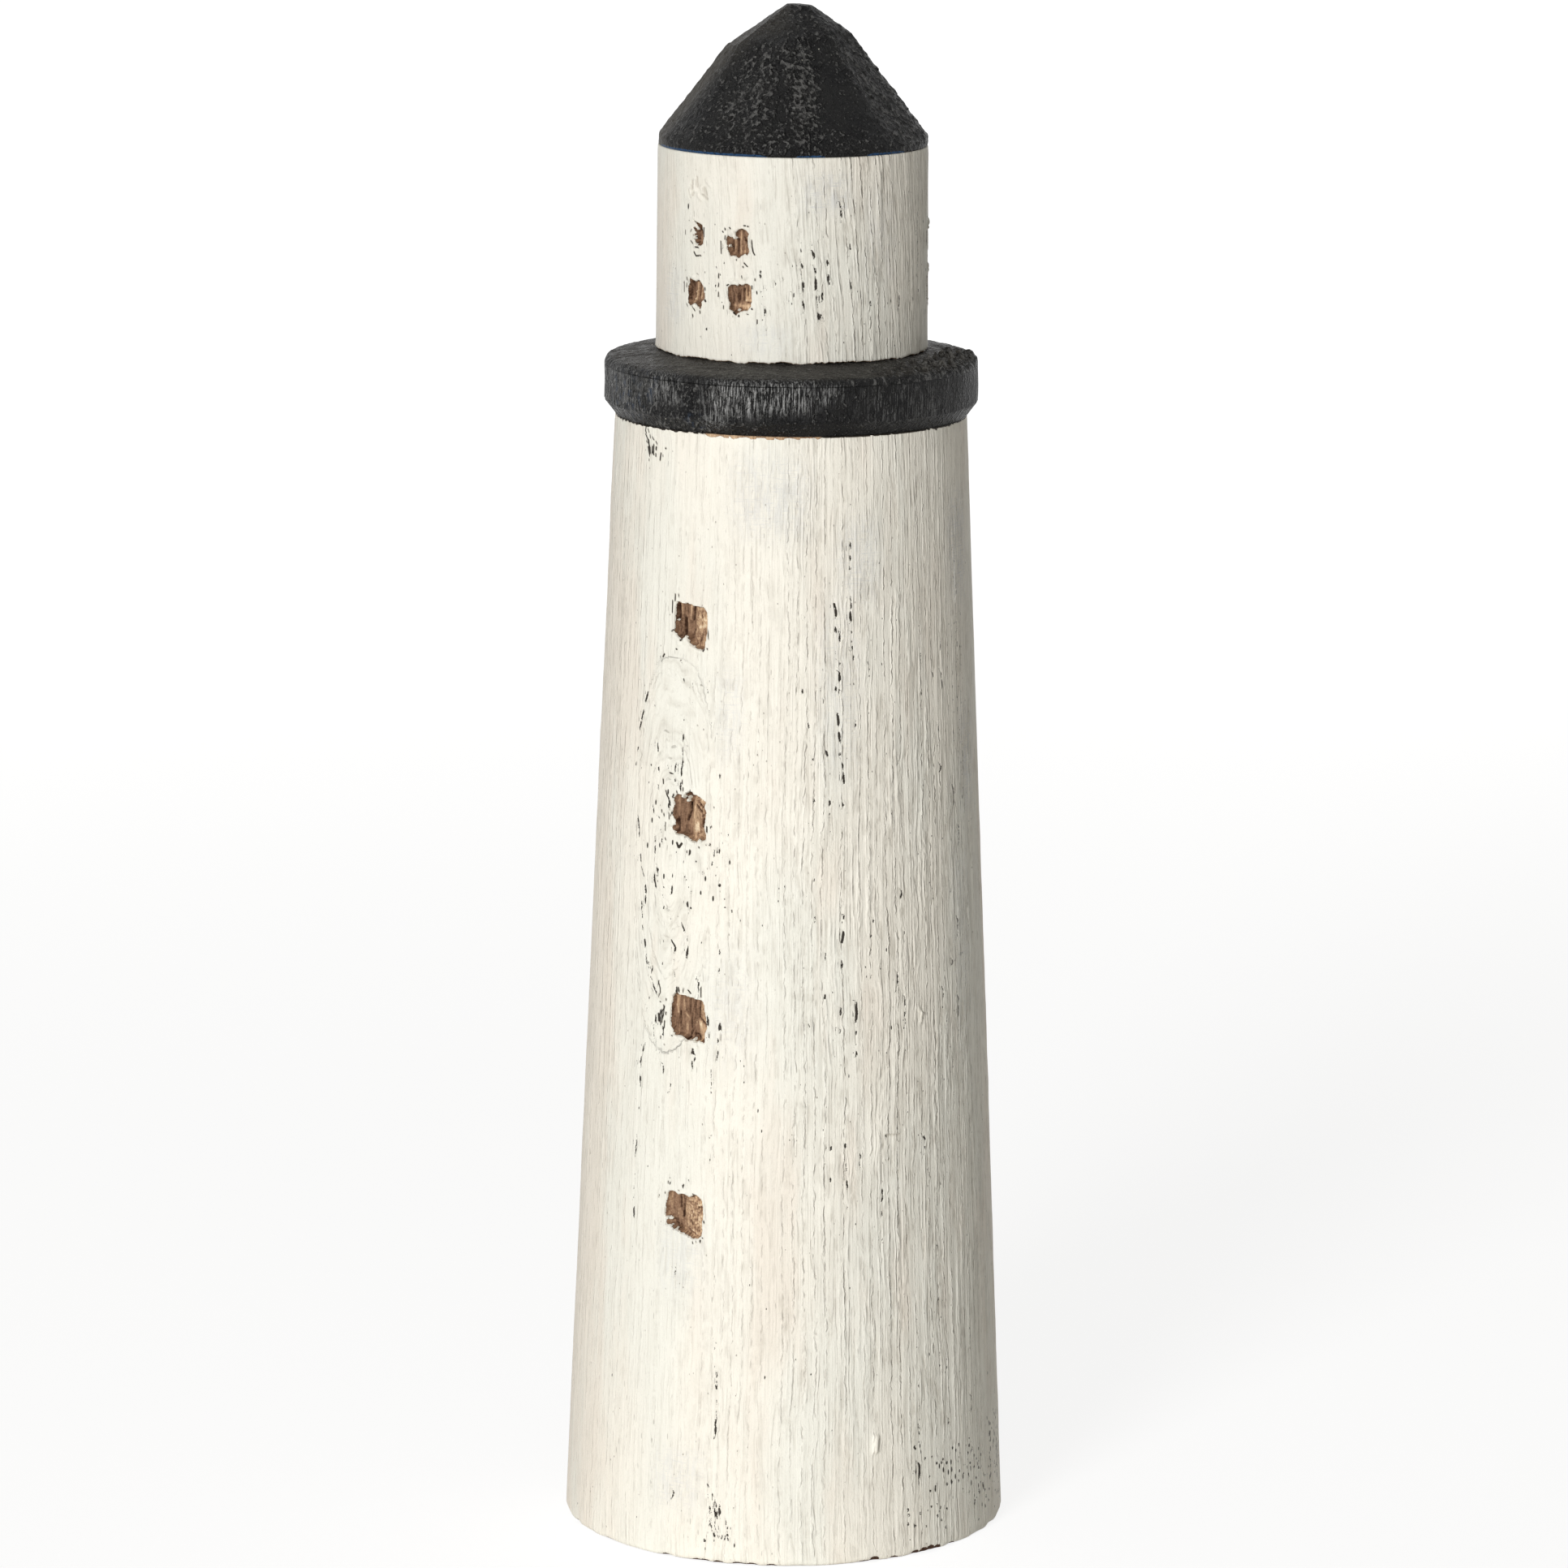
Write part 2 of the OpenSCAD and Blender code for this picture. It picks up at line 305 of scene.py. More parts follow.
window_3 = {
    "bearing": -29.4, "height": 107.3, "crumb": 0.12,
    "outline": [
        (-3.5, 4.0), (-2.9, 4.6), (-1.6, 4.3), (-0.4, 4.2), (1.0, 4.0), (1.6, 3.8),
        (2.9, 3.7), (3.3, 3.3), (3.5, 2.1), (3.8, 0.8), (4.0, -0.5), (4.2, -1.5),
        (3.7, -2.6), (3.8, -4.3), (3.4, -4.6), (2.5, -4.2), (1.8, -4.5), (1.0, -4.1),
        (-0.3, -4.5), (-0.8, -3.8), (-2.0, -3.6), (-2.9, -3.8), (-3.3, -2.8), (-3.9, -1.9),
        (-4.0, -0.5), (-3.8, 2.2),
    ],
    "floor": [
        (-3.9, 1.1, 0.3), (-2.6, 1.5, 0.34), (0.6, 2.1, 0.36),
        (1.5, 2.2, 0.35), (1.9, 1.8, 0.55), (4.0, 1.0, 0.68),
    ],
    "strokes": [
        (-3.05, 3.9, -3.15, 2.1, 0.2, -0.2, 0.45), (-3.15, 2.1, -2.95, 0.6, 0.18, -0.25, 0.5),
        (-1.3, 0.6, -0.9, -0.1, 0.17, -0.25, 0.45), (-1.1, -1.4, -1.1, -2.6, 0.18, -0.2, 0.3),
        (-2.55, 0.8, -2.5, -1.9, 0.17, 0.3, -0.25), (1.7, 3.8, 1.55, 0.3, 0.18, 0.4, -0.35),
        (1.6, 0.0, 3.3, -1.0, 0.14, 0.6, -0.8), (3.3, -1.0, 3.35, -1.5, 0.13, 0.4, -0.6),
        (1.9, -1.0, 2.5, -2.0, 0.55, -0.25, 0.28), (-0.6, 3.9, -0.55, 0.4, 0.14, 0.25, -0.2),
        (0.5, 3.6, 0.6, -0.8, 0.16, 0.2, -0.15), (-0.1, 0.6, -0.2, -3.4, 0.14, 0.25, -0.2),
        (-1.9, 3.0, -1.8, 1.2, 0.25, -0.15, 0.2), (0.3, -2.6, -0.5, -4.1, 0.15, 0.2, -0.25),
        (0.9, -3.4, 1.6, -3.3, 0.12, 0.3, -0.3), (2.3, 1.6, 3.0, 1.1, 0.15, -0.15, 0.15),
        (3.4, -4.4, 3.2, -4.3, 0.2, 0.3, -0.6), (-0.3, -4.3, -0.2, -4.2, 0.22, 0.3, -0.6),
        (1.7, -3.4, 2.3, -4.1, 0.15, 0.4, -0.6),
    ],
    "lumps": [
        (1.54, -3.95, 0.3, 0.1), (-1.5, -4.3, 0.6, 0.25), (1.8, 4.2, 0.4, 0.2), (2.9, 4.1, 0.4, 0.2),
        (-3.6, -3.6, 0.6, 0.25), (0.6, -5.0, 0.5, 0.2), (2.6, -5.0, 0.45, 0.15), (0.4, 4.7, 0.35, 0.15),
    ],
    "nicks": [
        (-2.5, 6.8, -2.4, 6.4, 0.1), (-2.3, 5.7, -2.1, 4.95, 0.15), (-1.1, 5.7, -1.2, 5.0, 0.1),
        (-0.1, 5.5, 0.55, 4.9, 0.12), (2.7, 7.1, 2.8, 4.4, 0.11), (7.0, -0.8, 7.0, -1.5, 0.17),
        (7.05, -2.6, 7.05, -3.6, 0.1), (1.3, -5.9, 1.1, -6.7, 0.15), (-6.85, 0.0, -6.8, -1.5, 0.13),
        (-6.0, 0.8, -6.0, -1.6, 0.13), (-5.35, -1.2, -5.4, -2.5, 0.13), (-5.7, 1.9, -5.6, 1.2, 0.12),
        (-5.05, 0.6, -5.1, 0.0, 0.12), (4.45, 0.2, 4.5, -0.9, 0.12), (4.6, -2.4, 4.7, -3.3, 0.09),
        (-7.2, 6.4, -6.7, 5.0, 0.11), (-6.7, 5.0, -6.6, 4.2, 0.11), (-6.6, 4.2, -7.2, 3.2, 0.11),
        (-5.1, 3.2, -5.1, 2.8, 0.12), (-6.5, 2.4, -6.6, 2.3, 0.13), (-6.2, -4.4, -6.3, -4.8, 0.12),
        (-5.3, -5.8, -5.3, -6.0, 0.12), (-3.5, -3.9, -3.2, -3.7, 0.1),
    ],
}
window_4 = {
    "bearing": -29.3, "height": 68.5, "crumb": 0.5,
    "outline": [
        (-3.6, 4.0), (-3.0, 4.4), (-2.1, 4.4), (-1.2, 3.8), (-0.5, 4.0), (0.3, 4.0),
        (0.7, 3.8), (1.6, 3.7), (2.1, 4.2), (3.3, 3.9), (4.0, 3.3), (4.2, 1.8), (4.3, 0.5),
        (4.1, -1.6), (4.2, -2.6), (4.1, -3.7), (3.3, -4.4), (2.2, -4.5), (0.9, -3.9),
        (-0.8, -3.5), (-1.1, -3.2), (-2.1, -3.2), (-2.5, -2.8), (-3.9, -2.3), (-3.8, -1.2),
        (-4.1, -0.8), (-4.2, 0.3), (-4.0, 2.2), (-3.7, 3.1),
    ],
    "floor": [(-4.1, 1.0, 0.4), (-1.9, 1.6, 0.42), (-1.0, 2.1, 0.38), (0.2, 1.7, 0.55), (4.2, 1.1, 0.62)],
    "strokes": [
        (-1.6, 3.3, -1.57, 0.95, 0.13, 0.3, -0.4), (-0.87, 1.4, -0.87, -0.76, 0.16, 0.7, -0.85),
        (-0.7, 3.8, -0.8, 1.4, 0.2, 0.2, -0.2), (-3.5, 3.3, -3.75, 1.6, 0.15, -0.2, 0.3),
        (0.5, -2.9, 2.2, -3.8, 0.12, 0.2, -0.3), (0.2, -2.5, 2.6, -3.4, 0.12, -0.2, 0.2),
        (2.2, -2.3, 2.1, -3.3, 0.13, 0.2, -0.25), (0.9, -1.4, 1.2, -1.7, 0.15, 0.3, -0.5),
        (3.4, -0.3, 3.5, -2.0, 0.35, -0.15, 0.2), (1.7, 0.6, 1.65, 0.3, 0.2, -0.2, 0.35),
        (2.7, 1.9, 3.5, 2.2, 0.2, -0.2, 0.35), (2.4, 1.2, 3.0, 1.6, 0.14, 0.3, -0.45),
        (1.6, 3.6, 1.6, 3.3, 0.15, 0.3, -0.5), (4.1, 0.3, 4.2, 0.0, 0.18, 0.3, -0.6),
        (-0.6, 1.2, 0.4, -1.0, 0.2, -0.1, 0.12), (-2.2, -1.6, -1.9, -2.9, 0.35, 0.3, -0.3),
    ],
    "lumps": [
        (-2.85, -0.95, 0.38, 0.25), (-3.6, -1.1, 0.35, 0.2), (-3.15, -2.8, 0.5, 0.3),
        (-1.4, -2.7, 0.22, 0.15), (-1.7, -3.05, 0.25, 0.15), (-2.55, -2.3, 0.2, 0.0),
        (-3.9, -3.4, 0.5, 0.2), (0.2, -4.2, 0.5, 0.2), (2.6, -5.0, 0.6, 0.2), (1.2, 4.2, 0.5, 0.2),
    ],
    "nicks": [
        (-3.5, 6.7, -3.55, 5.8, 0.1), (-0.05, 6.0, -0.05, 5.8, 0.13), (-5.7, 3.2, -5.8, 2.7, 0.1),
        (-4.2, 3.9, -4.2, 3.7, 0.12), (4.5, -0.6, 4.6, -1.1, 0.12), (3.9, -4.5, 3.85, -5.0, 0.14),
        (3.0, -4.95, 3.1, -5.0, 0.12), (2.35, -5.0, 2.3, -5.4, 0.12), (4.3, -4.0, 4.4, -4.1, 0.1),
        (2.1, 4.35, 2.9, 4.1, 0.13), (-0.9, 4.6, -1.2, 4.7, 0.08), (2.2, -6.8, 2.2, -7.0, 0.1),
        (1.5, 6.9, 1.55, 6.4, 0.09), (-3.1, -1.6, -3.5, -2.1, 0.13),
    ],
}
scrape = {
    "bearing": -49.6, "height": 216.4, "crumb": 0,
    "outline": [], "floor": [(0, 0, 0)], "strokes": [], "lumps": [],
    "nicks": [
        (-3.4, 4.6, -2.9, 3.9, 0.1), (-2.9, 3.9, -3.0, 3.3, 0.12), (-3.0, 3.3, -2.75, 2.9, 0.14),
        (-2.9, 2.6, -1.75, 1.2, 0.14), (-1.9, 1.6, -1.3, -0.9, 0.2), (-2.1, 1.2, -1.2, 0.1, 0.14),
        (-2.0, 0.3, -1.5, -1.1, 0.13), (-1.3, 0.2, -1.2, -0.8, 0.18), (-1.5, -1.0, -1.35, -1.5, 0.1),
        (-0.6, 0.6, -0.65, -0.9, 0.13), (-0.15, 0.9, -0.15, -0.9, 0.16), (-0.4, -0.6, 0.0, -1.1, 0.12),
        (0.6, 0.5, 0.55, 0.0, 0.2), (0.5, -0.7, 0.55, -1.3, 0.13), (-1.5, 2.7, -1.35, 2.1, 0.12),
        (-2.2, 3.7, -1.8, 3.0, 0.1), (-0.7, 2.3, -0.2, 1.8, 0.1), (0.4, 1.6, 0.8, 1.1, 0.1),
        (-1.45, -2.0, -1.5, -2.4, 0.11), (2.0, -0.5, 1.8, -1.9, 0.16), (3.2, 0.6, 3.25, 0.5, 0.17),
        (-2.6, 1.4, -2.4, 1.1, 0.1), (2.6, -0.8, 2.55, -1.1, 0.08),
    ],
}
tower_places = [window_1, window_2, window_3, window_4, scrape]


def paint_mark(bearing, height, strokes, nicks):
    """A mark in the paint alone: strokes and nicks, with no hole cut through to the wood."""
    return {
        "bearing": bearing, "height": height, "crumb": 0, "outline": [], "floor": [(0, 0, 0)],
        "strokes": strokes, "lumps": [], "nicks": nicks,
    }


blob = paint_mark(
    24.8, 23.6,
    [(0.1, 1.3, -0.1, -1.3, 0.55, -0.75, 0), (0.6, 0.9, 0.5, -1.2, 0.2, 0.15, 0)],
    [],
)
fold = paint_mark(
    41.3, 107.1,
    [(-0.5, 1.6, 0.3, 0.4, 0.35, -0.3, 0), (0.3, 0.4, 0.2, -1.4, 0.35, -0.25, 0)],
    [(0.9, 0.5, 0.8, -0.8, 0.06)],
)
scratch = paint_mark(
    31.2, 84.5,
    [(-1.7, 0, 1.7, -0.1, 0.22, 0.2, 0), (-1.5, 0.4, 1.4, 0.3, 0.25, -0.14, 0)],
    [(-1.7, 0.2, -1.6, -0.2, 0.1)],
)
small_places = [blob, fold, scratch]


def refine(block, places, half_wide, half_high, cuts_up, cuts_across, shortest=0.0):
    """Splits the faces round some places into finer ones, but no upright edge under shortest."""
    bpy.ops.object.select_all(action="DESELECT")
    block.select_set(True)
    bpy.context.view_layer.objects.active = block
    bpy.ops.object.mode_set(mode="EDIT")
    bpy.ops.mesh.select_mode(type="EDGE")
    for upright, cuts in ((True, cuts_up), (False, cuts_across)):
        if not cuts:
            continue
        bpy.ops.mesh.select_all(action="DESELECT")
        work = bmesh.from_edit_mesh(block.data)
        for edge in work.edges:
            middle = (edge.verts[0].co + edge.verts[1].co) / 2
            out = hypot(middle.x, middle.y)
            if out < 20 * mm:
                continue
            for place in places:
                if abs(middle.z - place["height"] * mm) > half_high:
                    continue
                arc = turn_from(atan2(middle.x, -middle.y), radians(place["bearing"])) * out
                run = edge.verts[1].co - edge.verts[0].co
                if upright and run.length < shortest:
                    continue
                if abs(arc) < half_wide and (abs(run.z) > hypot(run.x, run.y)) == upright:
                    edge.select_set(True)
        bpy.ops.mesh.subdivide(number_cuts=cuts)
    bpy.ops.object.mode_set(mode="OBJECT")


# The carved places and the marks get small faces. Where the worn seams lie thickest, the coarse
# rows of faces are split too, but not across.
window_half = 7.2 * mm
refine(tower, tower_places, window_half, window_half, 9, 1)
refine(tower, small_places, 2.8 * mm, 3.2 * mm, 8, 1)
eye_zone = {"bearing": -35, "height": 137}
front_zone = {"bearing": 15, "height": 132}
coarse_row = 1.2 * mm
refine(tower, [eye_zone], 13 * mm, 45 * mm, 4, 0, coarse_row)
refine(tower, [front_zone], 9 * mm, 70 * mm, 4, 0, coarse_row)


def from_line(u, v, u0, v0, u1, v1):
    """The distance from a point to a short straight line."""
    run, rise = u1 - u0, v1 - v0
    share = ((u - u0) * run + (v - v0) * rise) / (run * run + rise * rise + 1e-9)
    share = min(max(share, 0), 1)
    return hypot(u - u0 - share * run, v - v0 - share * rise)


def inside_by(u, v, outline):
    """How far inside an outline a point lies. Outside it is negative."""
    nearest, inside = 9, False
    for (u0, v0), (u1, v1) in zip(outline, outline[1:] + outline[:1]):
        nearest = min(nearest, from_line(u, v, u0, v0, u1, v1))
        if (v0 > v) != (v1 > v) and u < u0 + (v - v0) * (u1 - u0) / (v1 - v0):
            inside = not inside
    return nearest if inside else -nearest


def eased(value, low, high):
    """A soft step from 0 at low to 1 at high."""
    share = min(max((value - low) / (high - low), 0), 1)
    return share * share * (3 - 2 * share)


def carved(place, u, v):
    """What a carved place has at a point: depth in mm, bareness, tone and nick, each 0 to 1."""
    seed = place["bearing"] + place["height"]
    rag = 0.09 * noise.noise(Vector((u / 0.45, v / 0.45, seed)))
    inner = inside_by(u, v, place["outline"]) + rag
    floor = place["floor"]
    depth, tone = floor[-1][1:]
    for (u0, d0, t0), (u1, d1, t1) in zip(floor, floor[1:]):
        if u <= u1:
            share = max(0, (u - u0) / (u1 - u0))
            depth, tone = d0 + (d1 - d0) * share, t0 + (t1 - t0) * share
            break
    fibre = noise.noise(Vector((u / 0.32, v / 2.2, seed + 3)))
    crumble = noise.noise(Vector((u / 0.33, v / 0.36, seed + 5)))
    crumb = place["crumb"] * (1.4 if u > 0.4 else 0.5)
    depth += 0.18 * fibre + 0.5 * crumb * crumble
    tone += 0.22 * fibre - 0.9 * crumb * crumble
    groove = 0
    scuff_dirt_and_shade = 0
    # A stroke that cuts deeper also darkens the wood: painted shade in its groove
    for u0, v0, u1, v1, width, deeper, shade in place["strokes"]:
        touch = exp(-((from_line(u, v, u0, v0, u1, v1) / width) ** 2))
        groove += deeper * touch
        tone += shade * touch
        # In a scuff, the cut-in grooves are stained brown-grey: partly dirt, partly painted shade
        if deeper > 0 and not place["outline"]:
            scuff_dirt_and_shade = max(scuff_dirt_and_shade, 0.42 * touch)
    if place["outline"]:
        depth = max(depth + groove, 0.15) * eased(inner, -0.06, 0.2)
        depth -= 0.09 * exp(-(((inner + 0.25) / 0.25) ** 2))
    else:
        depth = groove
    bareness = 0.5 + 2.5 * (inner - 0.02)
    for u0, v0, radius, rise in place["lumps"]:
        away = hypot(u - u0, v - v0) / radius
        away *= 1 + 0.35 * noise.noise(Vector((u / 0.5, v / 0.5, seed + 9)))
        if away < 1.3:
            cover = eased(away, 1.15, 0.75)
            depth = depth * (1 - cover) - rise * max(0, 1 - away * away) * cover
            bareness = min(bareness, 1.4 * (away - 0.62))
    nick = scuff_dirt_and_shade
    for u0, v0, u1, v1, half_width in place["nicks"]:
        nick = max(nick, 0.5 + (half_width - from_line(u, v, u0, v0, u1, v1)) / 0.2)
    return depth, min(max(bareness, 0), 1), min(max(tone, 0), 1), min(nick, 1)


def drawn(bearing, height, across, along, seed, out=mean_radius):
    """Noise drawn out up the skin: its marks are about across wide and along high."""
    return noise.noise(Vector((
        out * sin(bearing) / across,
        out * cos(bearing) / across + seed * 3.1,
        height / along + seed,
    )))


def strongest(patches, bearing, height, out):
    """How strongly patches of (degrees, mm, half width mm, half height mm, strength) act here."""
    strength = 0
    for degrees, middle, half_wide, half_high, most in patches:
        up = (height / mm - middle) / half_high
        if abs(up) < 1.5:
            across = turn_from(bearing, radians(degrees)) * out / mm / half_wide
            if abs(across) < 1.5:
                strength = max(strength, most * exp(-(across ** 4) - up ** 4))
    return strength


ring_gap = 1.9 * mm
eye_bearing = radians(-37)
eye_height = 138 * mm
eye_half_wide = 9.8 * mm
eye_up = 39 * mm
eye_down = 38 * mm


def tower_rings(bearing, height):
    """How far across the growth rings a point lies. They run up the post, but close in one eye."""
    arc = abs(turn_from(bearing, eye_bearing)) * mean_radius
    across = arc / eye_half_wide
    up = (height - eye_height) / (eye_up if height > eye_height else eye_down)
    power = 3 if up > 0 else 2.2
    ring = (across ** power + abs(up) ** power) ** (1 / power)
    wander = 0.8 * mm * drawn(bearing, height, 14 * mm, 40 * mm, 21)
    wobble = 0.3 * mm * drawn(bearing, height, 3 * mm, 5 * mm, 22)
    return (eye_half_wide * ring if ring < 1 else arc) + wander + wobble


def brushed(bearing, height, heavy, seed, out):
    """How far the thickly brushed paint stands out from the skin."""
    drift = 0.5 * mm * drawn(bearing, height, 7 * mm, 16 * mm, seed, out)
    turn = bearing + drift / out
    thick = max(0.1, 0.5 + 1.2 * drawn(turn, height, 6 * mm, 30 * mm, seed + 2, out))
    cord = max(0, 1 - 2.8 * abs(drawn(turn, height, 1.7 * mm, 40 * mm, seed + 4, out)))
    rope = 0.7 + 0.9 * drawn(turn, height, 1.6 * mm, 5 * mm, seed + 6, out)
    hollow = drawn(bearing, height, 13 * mm, 50 * mm, seed + 8, out)
    return (0.17 * heavy * cord * thick * rope + 0.08 * hollow) * mm


# How far in mm a worn stretch of a seam runs out beyond its ends
seam_end = 0.3


def seam_near(seams, bearing, height, mean):
    """The signed distance in mm to the nearest worn seam, and how strongly it is worn."""
    nearest, strength = 1.0, 0.0
    up = height / mm
    for path, stretches in seams:
        if not path[-1][1] - seam_end <= up <= path[0][1] + seam_end:
            continue
        for (degrees_0, top), (degrees_1, bottom) in zip(path, path[1:]):
            if up >= bottom or bottom == path[-1][1]:
                break
        share = min(max((top - up) / (top - bottom), 0), 1)
        centre = radians(degrees_0 + (degrees_1 - degrees_0) * share)
        off = turn_from(bearing, centre) * mean / mm
        off += 0.3 * noise.noise(Vector((path[0][0], up / 2.4, 2.0)))
        if abs(off) < abs(nearest):
            for upper, lower, worn in stretches:
                if lower - seam_end <= up <= upper + seam_end:
                    ends = min(upper - up, up - lower) + seam_end
                    nearest, strength = off, worn * min(1, 0.3 + 0.7 * ends)
    return nearest, strength * eased(abs(nearest), 0.95, 0.7)


def store(block, name, values, kind="FLOAT"):
    """Keeps one value, or one place, for each of a block's vertices."""
    layer = block.data.attributes.new(name, kind, "POINT")
    if kind == "FLOAT":
        layer.data.foreach_set("value", values)
    else:
        layer.data.foreach_set("vector", [c for place in values for c in place])


